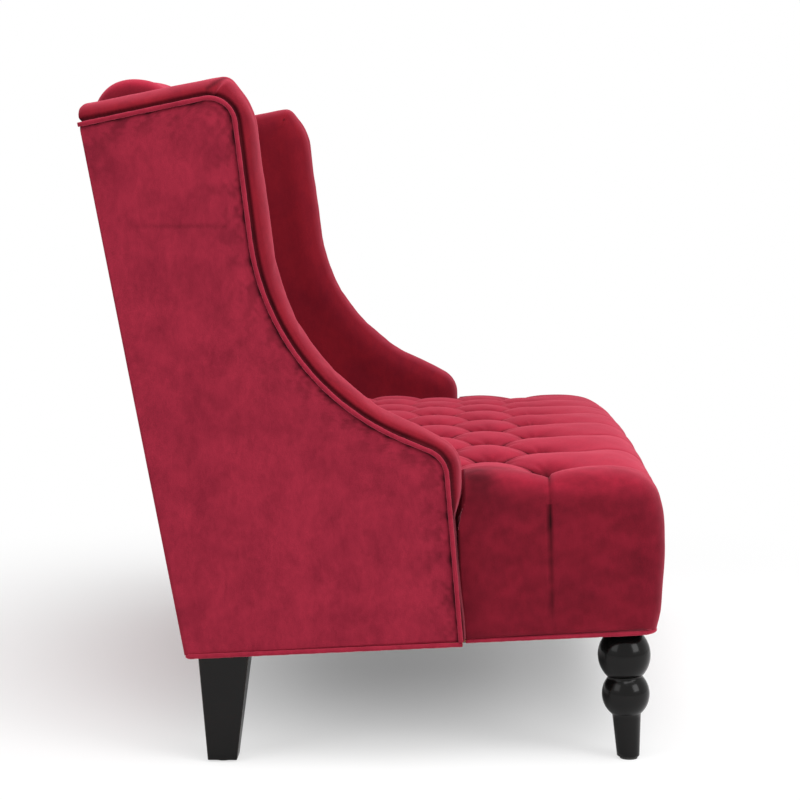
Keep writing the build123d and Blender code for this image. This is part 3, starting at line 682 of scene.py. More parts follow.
def settle(piece, held, cap):
    """Let a padded piece's cloth swell over its filling and settle, moving at most cap.

    held gives each point from 0, free, to 1, fixed."""
    mesh, scene = piece.data, bpy.context.scene
    start = read(mesh)
    group = piece.vertex_groups.new(name="held")
    for tenth in range(1, 11):
        there = np.nonzero(np.round(held * 10) == tenth)[0]
        if len(there):
            group.add(there.tolist(), tenth / 10, "REPLACE")
    modifier = piece.modifiers.new("cloth", "CLOTH")
    cloth = modifier.settings
    cloth.use_pressure, cloth.uniform_pressure_force = True, 6.0
    cloth.vertex_group_mass = group.name
    cloth.effector_weights.gravity = 0.0
    cloth.bending_stiffness = 1.0
    modifier.collision_settings.use_collision = False
    for number in range(1, SWELL_FRAMES + 1):
        scene.frame_set(number)
    moved = read(piece.evaluated_get(bpy.context.evaluated_depsgraph_get()).data) - start
    reach = np.linalg.norm(moved, axis=1)[:, None]
    moved *= np.minimum(1.0, cap / 1000.0 / np.maximum(reach, 1e-9))
    piece.modifiers.remove(modifier)
    piece.vertex_groups.clear()
    mesh.vertices.foreach_set("co", (start + moved).ravel())
    mesh.update()
    scene.frame_set(1)


def hold_wing(piece):
    """Where the wing's cloth is fixed: at the welt, at the foot, over the posts and on the flat inner face."""
    x, y, z = points_of(piece).T
    inward = np.linalg.norm(np.stack((y, z), axis=1)[:, None] - pad_outline(6.0)[None], axis=2).min(axis=1)
    return np.max([
        unit((-x - 612.0) / 12.0), unit((inward - 42.0) / 25.0), unit(1 - (z - over_base(y, WELT_TOP)) / 25.0),
        unit(1 - (on_back(y, z)[0] - 10.0) / 20.0),
    ], axis=0)


def subdivided(piece):
    """Apply one level of subdivision surface."""
    modifier = piece.modifiers.new("subdivision", "SUBSURF")
    modifier.levels = 1
    fine = bpy.data.meshes.new_from_object(piece.evaluated_get(bpy.context.evaluated_depsgraph_get()))
    piece.modifiers.remove(modifier)
    fine.name = piece.data.name
    piece.data = fine


def mirrored_copy(piece, name):
    """The same piece for the other side."""
    mesh = piece.data.copy()
    mesh.name = name
    place = read(mesh)
    place[:, 0] *= -1
    mesh.vertices.foreach_set("co", place.ravel())
    mesh.flip_normals()
    return placed(name, mesh)


def make_panel_mesh():
    """Left side panel: cloth drawn over the plywood inside the welt, with a thin lining behind."""
    piece = Mesher()
    edge = panel_outline(5.0, PANEL_INSET)
    along = lengths_along(edge) / lengths_along(edge)[-1]
    low = rise_of_base(0.6, WELT_TOP - 1.0)
    rear = np.stack(back_point(0.6, low + (BACK_CLOTH_TOP - 8 - low) * unit(along) ** 1.2), axis=1)
    rear[-1] = edge[-1]
    runs = np.linspace(0, 1, 76) ** 1.35
    place = with_grid(-(PAD_OUTER + 1.6), edge[:, None] + (rear - edge)[:, None] * runs[None, :, None])
    y, z = place[..., 1], place[..., 2]
    full = unit(np.minimum(np.minimum(runs, 1 - runs)[None] * 9, np.minimum(along, 1 - along)[:, None] * 14))
    fold = 1.1 * bell(y + 112, 26.0) * bell(z - 225, 45.0) * np.sin((y * 0.8 + z * 0.45) / 6.5)
    crease = 0.5 * bell(z - CREASE_AT[1], 4.0) * bell(y - CREASE_AT[0], 70.0, 4)
    lift = 2.6 * full + rough(place, 51, (160.0, 0.5), (60.0, 0.22)) - crease + fold
    outer, lining = place.copy(), place.copy()
    outer[..., 0] -= np.clip(lift, 0.0, 4.2)
    lining[..., 0] += 1.4
    front, back = piece.add(outer), piece.add(lining)
    piece.skin(front)
    piece.skin(back)
    piece.rim(front, back)
    return piece


def make_outside_back_mesh():
    """Velvet drawn over the board of the outside back, a little full between its edges."""
    piece = Mesher()
    low = rise_of_base(0, WELT_TOP)
    x = np.linspace(-PAD_OUTER, PAD_OUTER, 161)
    rises = np.linspace(low, BACK_CLOTH_TOP, 101)
    edge_x = unit((PAD_OUTER - np.abs(x)) / 14.0)
    edge_z = unit(np.minimum(rises - low, BACK_CLOTH_TOP - rises) / 14.0)
    full = np.sqrt(edge_x[None] * edge_z[:, None])
    place = np.stack(np.broadcast_arrays(x[None], rises[:, None]), axis=-1)
    depth = 3.2 - 2.4 * full - rough(place, 61, (260.0, 0.5), (90.0, 0.25)) * full
    sheets = []
    for depths in (depth, np.full_like(depth, 4.6)):
        sheets.append(piece.add(with_grid(x[None], np.stack(back_point(depths, rises[:, None]), axis=-1))))
        piece.skin(sheets[-1])
    piece.rim(*sheets)
    return piece


# ---------------------------------------------------------------- welts

def make_welt_mesh(path, flange_to, seed):
    """Piping: velvet wrapped round a cord along a path, slightly uneven, with its seam's flange."""
    piece = Mesher()
    path = respaced(np.asarray(path, float), 4.0)
    run = runs_of(path)
    toward = np.broadcast_to(np.asarray(flange_to, float), path.shape)
    toward = toward - (toward * run).sum(1)[:, None] * run
    toward = toward / np.linalg.norm(toward, axis=1)[:, None]
    across = np.cross(run, toward)
    along = lengths_along(path)[:, None]
    angles = np.linspace(0, 2 * pi, 17)[None, :-1]
    uneven = 1 + 0.035 * np.sin(along / 7.3 + seed) + 0.03 * np.sin(along / 3.1 + 2 * seed)
    radius = WELT_RADIUS * (uneven + 0.02 * np.sin(3 * angles + along / 2.2))
    radius = radius * (1 + 0.10 * np.maximum(np.cos(angles), 0.0) ** 6)
    turn = angles + 0.032 * np.sin(along / 4.4 + seed)
    numbers = piece.add(path[:, None] + radius[..., None] * (
        np.cos(turn)[..., None] * toward[:, None] + np.sin(turn)[..., None] * across[:, None]
    ))
    piece.tube(numbers)
    piece.face(numbers[0])
    piece.face(numbers[-1][::-1])
    return piece


def side_welt_path():
    """Centreline of the left side welt, with a tail that turns down behind."""
    line = panel_outline(3.0, WELT_RADIUS)
    tail = line[-1] + (line[-1] - line[-2]) * np.array((0.4, 0.8))[:, None]
    return with_grid(-HALF + WELT_RADIUS, np.vstack((line, tail)))


def base_run(side, start, end, radius):
    """Run under the upholstery, at the welt's height on the base: from start on one side round by end."""
    corners = ((-side, start), (-side, end), (side, end), (side, start))
    line = rounded_line(corners, (radius, radius), 2.0)
    return np.stack((line[:, 0], line[:, 1], base_z(line[:, 1], WELT_RADIUS)), axis=1)


# ---------------------------------------------------------------- legs, webbing, felt and dust cover

def arc_through(start, through, end, count):
    """Points on the circle through three points, from start to end."""
    (ax, ay), (bx, by), (cx, cy) = start, through, end
    twice = 2 * (ax * (by - cy) + bx * (cy - ay) + cx * (ay - by))
    a, b, c = ax**2 + ay**2, bx**2 + by**2, cx**2 + cy**2
    ux = (a * (by - cy) + b * (cy - ay) + c * (ay - by)) / twice
    uy = (a * (cx - bx) + b * (ax - cx) + c * (bx - ax)) / twice
    first, last = np.arctan2(ay - uy, ax - ux), np.arctan2(cy - uy, cx - ux)
    angles = np.linspace(first, last, count)
    radius = np.hypot(ax - ux, ay - uy)
    return np.stack((ux + radius * np.cos(angles), uy + radius * np.sin(angles)), axis=1)


def make_leg_mesh():
    """Left front leg: turned, two balls over a taper, its axis square to the base and its foot level."""
    piece = Mesher()
    top = (-LEG_AT[0], LEG_AT[1] * cos(BASE_TILT), BASE_HEIGHT - LEG_AT[1] * sin(BASE_TILT))
    length = top[2] / cos(BASE_TILT)
    lower = arc_through(NECKS[1], BALLS[1], NECKS[0], 22)
    upper = arc_through(NECKS[0], BALLS[0], (LEG_TOP_RADIUS, length), 22)
    taper = np.linspace((FOOT_RADIUS + 0.3, 5.0), NECKS[1], 12)[:-1]
    line = np.vstack((
        (FOOT_RADIUS - 1.2, -12.0), (FOOT_RADIUS, -10.5), taper, lower, upper[1:], (8.0, length), (0.0, length),
    ))
    angles = np.linspace(0, 2 * pi, 65)[:-1]
    radius, height = line[:, :1], line[:, 1:] - length
    x = top[0] + radius * np.cos(angles)
    y = top[1] + height * sin(BASE_TILT) + radius * np.sin(angles) * cos(BASE_TILT)
    z = top[2] + height * cos(BASE_TILT) - radius * np.sin(angles) * sin(BASE_TILT)
    for row, level in ((0, FOOT_LEVEL), (1, FOOT_LEVEL + 1.4)):
        y[row] += (level - z[row]) * tan(BASE_TILT)
        z[row] = level
    numbers = piece.add(np.stack((x, y, z), axis=-1))
    piece.tube(numbers)
    piece.face(numbers[0])
    return piece


def weave(at, crossings, first_over):
    """Lift of a strap that goes over and under the straps that cross it in turn."""
    turns = (1 if first_over else -1) * np.where(np.arange(len(crossings)) % 2, -1.0, 1.0)
    return WEB_RISE * np.sin(np.interp(at, crossings, turns) * pi / 2)


def add_strap(piece, middle, side, up):
    """A flat strap along the points of middle, y and z; side and up are its unit directions."""
    corners = np.array(((-0.5, -0.5), (-0.5, 0.5), (0.5, 0.5), (0.5, -0.5)))
    middle = np.stack(np.broadcast_arrays(*middle), axis=1)
    ring = middle[:, None] + corners[None, :, :1] * WEB_WIDTH * side + corners[None, :, 1:] * WEB_THICK * up
    numbers = piece.add(ring)
    piece.tube(numbers)
    piece.face(numbers[0])
    piece.face(numbers[-1])


ALONG = np.array((1.0, 0.0, 0.0))


def make_seat_webbing_mesh():
    """Elastic webbing of the seat: twelve straps from front to rear, woven with four across."""
    piece = Mesher()
    x, y = (np.arange(12) - 5.5) * 86.0, -300.0 + 125.0 * np.arange(4)
    ahead, up = np.array((0, cos(BASE_TILT), -sin(BASE_TILT))), np.array((0, sin(BASE_TILT), cos(BASE_TILT)))
    at = np.linspace(FRAME_FRONT + 3, 260.0, 90)
    for i in range(12):
        add_strap(piece, (x[i], at, over_base(at, WEB_MIDDLE + weave(at, y, i % 2 == 0))), ALONG, up)
    at = np.linspace(-535.0, 535.0, 140)
    for j in range(4):
        add_strap(piece, (at, y[j], over_base(y[j], WEB_MIDDLE + weave(at, x, j % 2 == 1))), ahead, up)
    return piece


def make_back_webbing_mesh():
    """Elastic webbing of the back: four straps across, woven with eleven upright ones."""
    piece = Mesher()
    rises, x = 285.0 + 105.0 * np.arange(4), (np.arange(11) - 5) * 92.0
    forward, uphill = np.array((0, -cos(RECLINE), sin(RECLINE))), np.array((0, sin(RECLINE), cos(RECLINE)))
    at = np.linspace(-601.0, 601.0, 150)
    for i in range(4):
        depth = BACK_WEB_MIDDLE + weave(at, x, i % 2 == 0)
        add_strap(piece, (at, *back_point(depth, rises[i])), uphill, forward)
    at = np.linspace(158.0, 756.0, 100)
    for j in range(11):
        depth = BACK_WEB_MIDDLE + weave(at, rises, j % 2 == 1)
        add_strap(piece, (x[j], *back_point(depth, at)), ALONG, forward)
    return piece


def make_layer_mesh(x_reach, y_range, lift, thick, corner, sag, seed):
    """A thin sheet parallel to the base, both its faces and its rim; sag hangs between the rails."""
    piece = Mesher()
    x = np.linspace(-x_reach, x_reach, 97)
    y = np.linspace(*y_range, 55)
    grid = np.stack(np.broadcast_arrays(x[None], y[:, None]), axis=-1).copy()
    past = np.stack((np.abs(grid[..., 0]) - x_reach + corner, y_range[0] + corner - grid[..., 1]), axis=-1)
    far = np.linalg.norm(past, axis=-1)
    over = (past > 0).all(axis=-1) & (far > corner)
    pull = np.where(over, 1 - corner / np.maximum(far, 1e-6), 0)[..., None] * past
    grid[..., 0] -= np.sign(grid[..., 0]) * pull[..., 0]
    grid[..., 1] += pull[..., 1]
    share = np.stack((12.0 * (1 - np.abs(grid[..., 0]) / x_reach), (grid[..., 1] - y_range[0]) / 45.0,
                      (y_range[1] - grid[..., 1]) / 45.0))
    hang = unit(share - 1).min(axis=0)
    level = lift - sag * hang * (0.7 + 0.3 * soft_noise(grid, 220.0, seed)) + 0.12 * soft_noise(grid, 40.0, seed + 1)
    sheets = []
    for through in (0.0, thick):
        z = base_z(grid[..., 1], level + through)
        sheets.append(piece.add(np.concatenate((grid, z[..., None]), axis=-1)))
        piece.skin(sheets[-1])
    piece.rim(*sheets)
    return piece


# ---------------------------------------------------------------- materials

def hex_colour(text):
    """Linear red, green, blue and alpha for an sRGB hex colour."""
    parts = [int(text[i:i + 2], 16) / 255 for i in (0, 2, 4)]
    return (*(c / 12.92 if c <= 0.04045 else ((c + 0.055) / 1.055) ** 2.4 for c in parts), 1.0)


class Nodes:
    """A node tree as it is built. The sizes of patterns are in millimetres."""

    def __init__(self, tree):
        self.tree = tree
        tree.nodes.clear()
        self.in_column = {}

    def add(self, kind, settings=None, **inputs):
        """Add a node to the right of those it takes from; inputs go by name, or by number as _0, _1."""
        sources = [v.node.location.x for v in inputs.values() if isinstance(v, bpy.types.NodeSocket)]
        column = 220 + max(sources) if sources else 0
        self.in_column[column] = self.in_column.get(column, 0) + 1
        node = self.tree.nodes.new(f"ShaderNode{kind}")
        node.location = (column, -260 * self.in_column[column])
        for name, value in (settings or {}).items():
            setattr(node, name, value)
        for name, value in inputs.items():
            socket = node.inputs[int(name[1:])] if name[1:].isdigit() else node.inputs[name.replace("_", " ")]
            if isinstance(value, bpy.types.NodeSocket):
                self.tree.links.new(value, socket)
            else:
                socket.default_value = value
        return node

    def math(self, operation, *values):
        """A sum of this kind over values or sockets."""
        inputs = {f"_{i}": value for i, value in enumerate(values)}
        return self.add("Math", {"operation": operation}, **inputs).outputs[0]

    def spread(self, value, low, high, to_low=0.0, to_high=1.0, kind="LINEAR"):
        """The value's range from low to high, spread to another range."""
        ends = dict(_1=low, _2=high, _3=to_low, _4=to_high)
        return self.add("MapRange", {"interpolation_type": kind}, Value=value, **ends).outputs[0]

    def blend(self, share, first, second, how="MIX"):
        """A colour between first and second; each is a colour or a socket."""
        settings = {"data_type": "RGBA", "blend_type": how}
        return self.add("Mix", settings, _0=share, _6=first, _7=second).outputs[2]


class Look(Nodes):
    """A material as it is built, over coordinates in metres."""

    def __init__(self, name):
        self.material = bpy.data.materials.new(name)
        self.material.use_nodes = True
        super().__init__(self.material.node_tree)
        self.place = self.add("TexCoord").outputs["Object"]

    def stretched(self, scale, turn=(0.0, 0.0, 0.0)):
        """The coordinates, stretched and turned."""
        return self.add("Mapping", Vector=self.place, Scale=scale, Rotation=turn).outputs[0]

    def noise(self, size, place=None, **more):
        """Noise whose patches are about size across."""
        return self.add("TexNoise", Vector=place or self.place, Scale=1000.0 / size, **more).outputs[0]

    def bands(self, size, settings, place=None, **more):
        """Bands that repeat about every size."""
        return self.add("TexWave", settings, Vector=place or self.place, Scale=1000.0 / size, **more).outputs[1]

    def finish(self, height=None, strength=0.0, rise_mm=0.0, **inputs):
        """The material, with its shader's inputs and a bump over height that rises rise_mm."""
        if height:
            bump = self.add("Bump", Strength=strength, Distance=rise_mm / 1000.0, Height=height)
            inputs["Normal"] = bump.outputs[0]
        shader = self.add("BsdfPrincipled", **inputs)
        self.add("OutputMaterial", Surface=shader.outputs[0])
        return self.material


def velvet(name, shades, nap_mm, painted_side_light=1.0, sheen=0.4):
    """Cotton velvet, cut pile, brushed by use.

    The four shades are a painted shade for folds, grooves and hollows, nearly black-red, the pile
    pressed, the pile upright, and a painted sheen. Where the fold attribute is high the colour goes to
    the painted shade; seen at a low angle it turns towards the painted sheen, besides the shader's own
    sheen. Upright faces are painted darker than faces turned up, a painted shade by facing. The nap's
    patches are nap_mm across, with finer strokes along the way it was brushed. Its tufts are finer than a
    render shows, so the grain is drawn at about a millimetre."""
    look = Look(name)
    folded, pressed, upright, painted_sheen = map(hex_colour, shades)
    brushed = look.stretched((1.0, 1.0, 0.45), (0.6, 0.2, 0.0))
    patches = look.noise(nap_mm, Detail=6.0, Roughness=0.62, Distortion=0.3)
    strokes = look.noise(nap_mm / 6, brushed, Detail=4.0, Roughness=0.65, Distortion=0.6)
    pile = look.noise(1.1, Detail=2.0)
    wide, fine = look.spread(patches, 0.34, 0.58), look.spread(strokes, 0.32, 0.66)
    nap = look.blend(look.math("MULTIPLY_ADD", fine, 0.4, look.math("MULTIPLY", wide, 0.6)), pressed, upright)
    # painted sheen: the colour turns towards the pale sheen shade where the surface is seen at a low angle
    facing = look.add("LayerWeight", Blend=0.35).outputs["Facing"]
    lit = look.blend(look.spread(facing, 0.2, 0.95, 0.0, 0.6), nap, painted_sheen)
    # painted shade: where the fold attribute is high (folds, grooves, creases, hollows round tufts, and some pressed
    # nap) the colour goes to the darkest shade
    fold = look.add("Attribute", {"attribute_name": "fold"}).outputs["Fac"]
    shaded = look.blend(look.spread(fold, 0.5, 1.0), lit, folded)
    # painted shade by facing: upright faces keep only part of the brightness that faces turned up get
    normal = look.add("NewGeometry").outputs["Normal"]
    painted_top_light = look.spread(look.add("SeparateXYZ", _0=normal).outputs["Z"], 0.2, 0.92, painted_side_light, 1.0, "SMOOTHSTEP")
    light = look.math("MULTIPLY", look.spread(pile, 0.3, 0.7, 0.86, 1.1), painted_top_light)
    grey = look.add("CombineColor", _0=light, _1=light, _2=light).outputs[0]
    return look.finish(
        look.math("MULTIPLY_ADD", strokes, 1.2, pile), 0.3, 0.6,
        Base_Color=look.blend(1.0, shaded, grey, "MULTIPLY"), Roughness=0.92, Specular_IOR_Level=0.1,
        Sheen_Weight=sheen, Sheen_Roughness=0.35, Sheen_Tint=hex_colour("ee7486"),
    )


def black_lacquer():
    """Beech under black satin lacquer, sprayed: an even coat that shows soft reflections, faint pores
    and edges rubbed a shade browner."""
    look = Look("black_satin_lacquer_on_beech")
    grain = look.noise(1.6, look.stretched((1.0, 1.0, 0.12)), Detail=4.0, Roughness=0.6)
    cloudy = look.noise(45.0, Detail=2.0)
    tone = look.blend(cloudy, hex_colour("060505"), hex_colour("0c0b0a"))
    rub = look.spread(look.add("NewGeometry").outputs["Pointiness"], 0.53, 0.62)
    return look.finish(
        grain, 0.12, 0.2, Base_Color=look.blend(rub, tone, hex_colour("1d1713")),
        Roughness=look.spread(cloudy, 0.0, 1.0, 0.2, 0.3), Specular_IOR_Level=0.08, Coat_Weight=0.2,
        Coat_Roughness=0.12,
    )


def bare_timber(name, pale, dark, growth_mm, along_x):
    """Sawn or sanded timber without finish: pale, with darker growth lines growth_mm apart."""
    look = Look(name)
    stretched = look.stretched((0.07, 1.0, 1.0) if along_x else (1.0, 0.3, 0.07))
    lines = look.bands(growth_mm * 6, {"wave_type": "BANDS"}, stretched, Distortion=5.0, Detail=3.0)
    pores = look.noise(1.2, stretched, Detail=3.0)
    share = look.math("MULTIPLY_ADD", pores, 0.5, lines)
    colour = look.blend(share, hex_colour(pale), hex_colour(dark))
    return look.finish(pores, 0.3, 0.3, Base_Color=colour, Roughness=0.7)


def woven(name, dark, pale, thread_mm, roughness):
    """Cloth woven over and under, its threads thread_mm apart."""
    look = Look(name)
    across, down = (
        look.bands(thread_mm * 6.28, {"bands_direction": way}, Distortion=0.6) for way in ("X", "Y")
    )
    cloth = look.math("MULTIPLY", across, down)
    tone = look.blend(cloth, hex_colour(dark), hex_colour(pale))
    colour = look.blend(look.noise(60.0, Detail=3.0), tone, hex_colour(dark))
    return look.finish(cloth, 0.5, 0.4, Base_Color=colour, Roughness=roughness)


def needled(name, dark, pale, fibre_mm):
    """Needled or spun fibre sheet: matt, speckled, without a weave."""
    look = Look(name)
    fibres = look.noise(fibre_mm, Detail=5.0, Roughness=0.7, Distortion=1.2)
    colour = look.blend(fibres, hex_colour(dark), hex_colour(pale))
    return look.finish(fibres, 0.5, 0.5, Base_Color=colour, Roughness=0.95)


def cloudy(name, dark, pale, patch_mm, detail, gloss, **inputs):
    """A hard finish that varies a little in tone and in gloss, in patches of patch_mm."""
    look = Look(name)
    patches = look.noise(patch_mm, Detail=detail)
    colour = look.blend(patches, hex_colour(dark), hex_colour(pale))
    return look.finish(Base_Color=colour, Roughness=look.spread(patches, 0.0, 1.0, *gloss), **inputs)


def nylon_glide():
    """Moulded nylon, black: a fine satin grain and scuffs where it slides."""
    return cloudy("moulded_nylon_black", "1d1c1b", "35332f", 3.0, 4.0, (0.4, 0.65), IOR=1.53)


def zinc_plate():
    """Steel with bright zinc plate: a bluish metal with cloudy patches of duller plate."""
    return cloudy("steel_bright_zinc_plate", "9da3a8", "c6cacc", 4.0, 3.0, (0.28, 0.45), Metallic=1.0)


# ---------------------------------------------------------------- dressing the frame

def mark_folds(piece):
    """Store on a velvet piece how far each point lies below the cloth around it: 0.5 is level, 1 is deep.

    The cloth around a point is the mesh after a few and after many rounds of evening out. The velvet's
    colour darkens by this value, a painted shade in folds and hollows."""
    mesh = piece.data
    count = len(mesh.vertices)
    place, normal = read(mesh), read(mesh, "normal")
    ends = np.empty(len(mesh.edges) * 2, int)
    mesh.edges.foreach_get("vertices", ends)
    a, b = ends.reshape(-1, 2).T
    around = np.maximum(np.bincount(a, minlength=count) + np.bincount(b, minlength=count), 1)[:, None]
    level, fold = place.copy(), np.zeros(count)
    for rounds, deep in FOLD_SCALES:
        for _ in range(rounds):
            level = np.stack(
                [np.bincount(a, level[b, k], count) + np.bincount(b, level[a, k], count) for k in range(3)],
                axis=1,
            ) / around
        fold += ((level - place) * normal).sum(axis=1) / deep
    layer = mesh.attributes.new("fold", "FLOAT", "POINT")
    layer.data.foreach_set("value", unit(0.5 + 0.5 * fold))


def points_of(piece):
    """A piece's points in millimetres."""
    return read(piece.data) * 1000.0


def paint_shade_and_nap(piece, nap):
    """Darken a velvet piece's colour by the shares that nap gives for its points, added to its fold
    attribute: painted shade in grooves, creases and hollows, and pressed nap in patches.
    """
    layer = piece.data.attributes["fold"]
    fold = np.empty(len(piece.data.vertices))
    layer.data.foreach_get("value", fold)
    layer.data.foreach_set("value", unit(np.maximum(fold, 0.5) + nap(points_of(piece))))


def distance_to(side, line):
    """Distance from each side view point to the nearest point of a line."""
    near = np.full(len(side), 1e9)
    for y, z in line:
        np.minimum(near, np.hypot(side[:, 0] - y, side[:, 1] - z), out=near)
    return near


def panel_nap_and_shade(place):
    """A side panel's darkening: pressed nap in patches along its front and top edge, painted shade in a
    line beside the welt, and a faint darker line along a crease.
    """
    side = place[:, 1:]
    near = distance_to(side, panel_outline(6.0, PANEL_INSET))
    patches = unit(0.15 + 1.5 * rough(side, 81, (34.0, 1.0), (12.0, 0.6)))
    # painted shade: the dark line beside the welt; the patches along the edges are pressed nap
    share = 0.26 * np.exp(-near / 30.0) * patches + 0.45 * bell(near, 4.0)
    share = share + 0.05 * unit(rough(side, 83, (60.0, 1.0), (18.0, 0.7)) - 0.2)
    return share + 0.06 * bell(side[:, 1] - CREASE_AT[1], 3.5) * bell(side[:, 0] - CREASE_AT[0], 70.0, 4)


def wing_shade_and_nap(place):
    """A wing's darkening: painted shade in a line beside the welt and in the fold of its mitre, with
    faint patches of pressed nap.
    """
    share = np.zeros(len(place))
    outer = np.abs(place[:, 0]) > 590.0
    near = distance_to(place[outer, 1:], panel_outline(6.0, 0.0))
    fold = MITRE_FOLD[0] + (MITRE_FOLD[1] - MITRE_FOLD[0]) * np.linspace(0, 1, 12)[:, None]
    # painted shade beside the welt and along the mitre's fold; the faint noise patches are pressed nap
    share[outer] = (
        0.4 * bell(near, 6.0, 4) + 0.06 * unit(rough(place[outer], 85, (40.0, 1.0), (14.0, 0.6)))
        + 0.34 * bell(distance_to(place[outer, 1:], fold), 3.4)
    )
    return share


def tuft_painted_shade(x, along, odd_first):
    """Painted shade round each tuft, in a star of creases."""
    p, q = x / HALF_PITCH, along / ROW_STEP
    across, past = np.full(p.shape, 1e6), np.full(p.shape, 1e6)
    for row in range(ROWS):
        odd = (row + odd_first) % 2
        column = np.clip(2 * np.round((p - odd) / 2) + odd, -LAST_COLUMN + 1 - odd, LAST_COLUMN - 1 + odd)
        du, dv = (p - column) * HALF_PITCH, (q - row) * ROW_STEP
        closer = np.hypot(du, dv) < np.hypot(across, past)
        across, past = np.where(closer, du, across), np.where(closer, dv, past)
    away = np.hypot(across, past)
    star = 0.7 + 0.3 * np.cos(7 * np.arctan2(past, across) + x / 20.0)
    # painted shade in the hollow round each tuft
    return 0.3 * bell(away, 22.0) + 0.16 * star * bell(away, 36.0)


def back_painted_shade(place):
    """The inside back's painted shade: round its tufts."""
    depth, rise = on_back(place[:, 1], place[:, 2])
    return tuft_painted_shade(place[:, 0], BACK_FIRST_ROW - rise, False) * (depth > 85.0)


def seat_painted_shade(place):
    """The seat's painted shade: mottled on its rounded ends, in the hollows where it meets the ends of the
    arms, and round its tufts.
    """
    x, y, z = np.abs(place[:, 0]), place[:, 1], place[:, 2]
    mottled = unit(0.6 + 0.5 * rough(place, 87, (45.0, 1.0), (15.0, 0.6)))
    # painted shade on the seat's ends and in the hollows against the arms, where the arms shade it
    share = 0.13 * unit((x - 522.0) / 30.0) * mottled
    share = share + 0.28 * bell(y + 150.0, 38.0) * bell(z - 420.0, 38.0) * unit((x - 535.0) / 20.0)
    return share + tuft_painted_shade(place[:, 0], y - SEAT_FIRST_ROW, True) * (z > 385.0)


def finish_piece(piece, slot, *nodes):
    """Give a piece its finish, tie it to the body and put it in place of these nodes."""
    if slot.startswith("velvet"):
        mark_folds(piece)
    piece.data.materials.clear()
    piece.data.materials.append(materials_by_slot()[slot])
    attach(piece, "root")
    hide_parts(*nodes)
    return piece


MATERIALS = {}


def materials_by_slot():
    """The finish of each material slot, made on first use."""
    if MATERIALS:
        return MATERIALS
    looks = bpy.context.scene.settee_looks
    # each velvet's shades: a painted shade for folds and hollows, the pile pressed, the pile upright, and a painted
    # sheen seen at a low angle
    tufted = ("2a0309", "881a2e", looks.velvet_hex, looks.painted_sheen_hex)
    wing = ("30040c", "6b1020", looks.wing_hex, looks.painted_sheen_hex)
    panel = ("30060e", "74182a", looks.panel_hex, "b83a50")
    piping = ("30060e", "7a182a", looks.panel_hex, "cf4e66")
    MATERIALS.update({
        # after the nap size: the brightness upright faces keep, a painted shade by facing, then the shader's own
        # sheen
        "velvet_tufted": velvet("cotton_velvet_tufted", tufted, 75.0, 0.55, 0.45),
        "velvet_wing": velvet("cotton_velvet_wing", wing, 85.0, 0.85, 0.35),
        "velvet_panel": velvet("cotton_velvet_drawn_flat", panel, 70.0),
        "velvet_piping": velvet("cotton_velvet_piping", piping, 30.0),
        "black_lacquer": black_lacquer(),
        "webbing": woven("elastic_webbing_woven", "1f1d1a", "4c4740", 2.2, 0.85),
        "felt": needled("grey_felt_needled", "6f6a60", "a39d90", 1.5),
        "dust_cloth": needled("black_dust_cloth_spun", "0d0d10", "26262b", 1.2),
        "glide_plastic": nylon_glide(),
        "zinc_steel": zinc_plate(),
        "plywood": bare_timber("birch_plywood_sanded", "cfae7e", "a07c4c", 9.0, False),
        "hardwood": bare_timber("hardwood_sawn_bare", "c9a272", "94703f", 7.0, True),
    })
    return MATERIALS


def dress_nodes():
    """Give every node of the frame the finish of its slot in the record."""
    for row in frame["record"]["subparts"]:
        node = frame["nodes"][row["node"]]
        finish = materials_by_slot()[row["material_slot"]]
        if not node.material_slots:
            node.data.materials.append(finish)
        for held in node.material_slots:
            held.material = finish


# ---------------------------------------------------------------- stage

def make_floor(backdrop_hex):
    """White floor that glows to the camera: a painted light that grows away from the settee and fades
    the settee's shadow there.
    """
    look = Look("seamless_paper_white")
    tone = look.blend(look.noise(2.0, Detail=2.0), hex_colour("f6f6f6"), hex_colour("fafafa"))
    shader = look.add("BsdfPrincipled", Base_Color=tone, Roughness=0.9)
    from_rear = look.add("VectorMath", _0=look.place, _1=(-0.35, 0.0, 0.0)).outputs[0]
    away = look.add("VectorMath", {"operation": "LENGTH"}, _0=from_rear).outputs["Value"]
    # painted light: the glow's share grows with distance from the settee, fading its shadow
    painted_glow_share = look.spread(away, 0.3, 1.5, 0.17, 1.0, "SMOOTHSTEP")
    share = look.math("MULTIPLY", painted_glow_share, look.add("LightPath").outputs["Is Camera Ray"])
    white = look.add("Emission", Color=hex_colour(backdrop_hex), Strength=1.0)
    mixed = look.add("MixShader", _0=share, _1=shader.outputs[0], _2=white.outputs[0])
    look.add("OutputMaterial", Surface=mixed.outputs[0])
    mesh = bpy.data.meshes.new("floor")
    mesh.from_pydata([(-9, -9, 0), (9, -9, 0), (9, 9, 0), (-9, 9, 0)], [], [(0, 1, 2, 3)])
    mesh.materials.append(look.material)
    floor = placed("floor", mesh)


def make_world(light, backdrop_hex):
    """The backdrop as the camera and reflections see it, over a softer light from all round."""
    world = bpy.data.worlds.new("studio")
    bpy.context.scene.world = world
    world.use_nodes = True
    sky = Nodes(world.node_tree)
    ray = sky.add("LightPath").outputs
    seen = sky.math("MAXIMUM", ray["Is Camera Ray"], ray["Is Glossy Ray"])
    seen = sky.math("MAXIMUM", seen, ray["Is Transmission Ray"])
    lit = sky.add("Background", Color=hex_colour("ffffff"), Strength=0.55 * light)
    shown = sky.add("Background", Color=hex_colour(backdrop_hex), Strength=1.0)
    both = sky.add("MixShader", _0=seen, _1=lit.outputs[0], _2=shown.outputs[0])
    sky.add("OutputWorld", Surface=both.outputs[0])


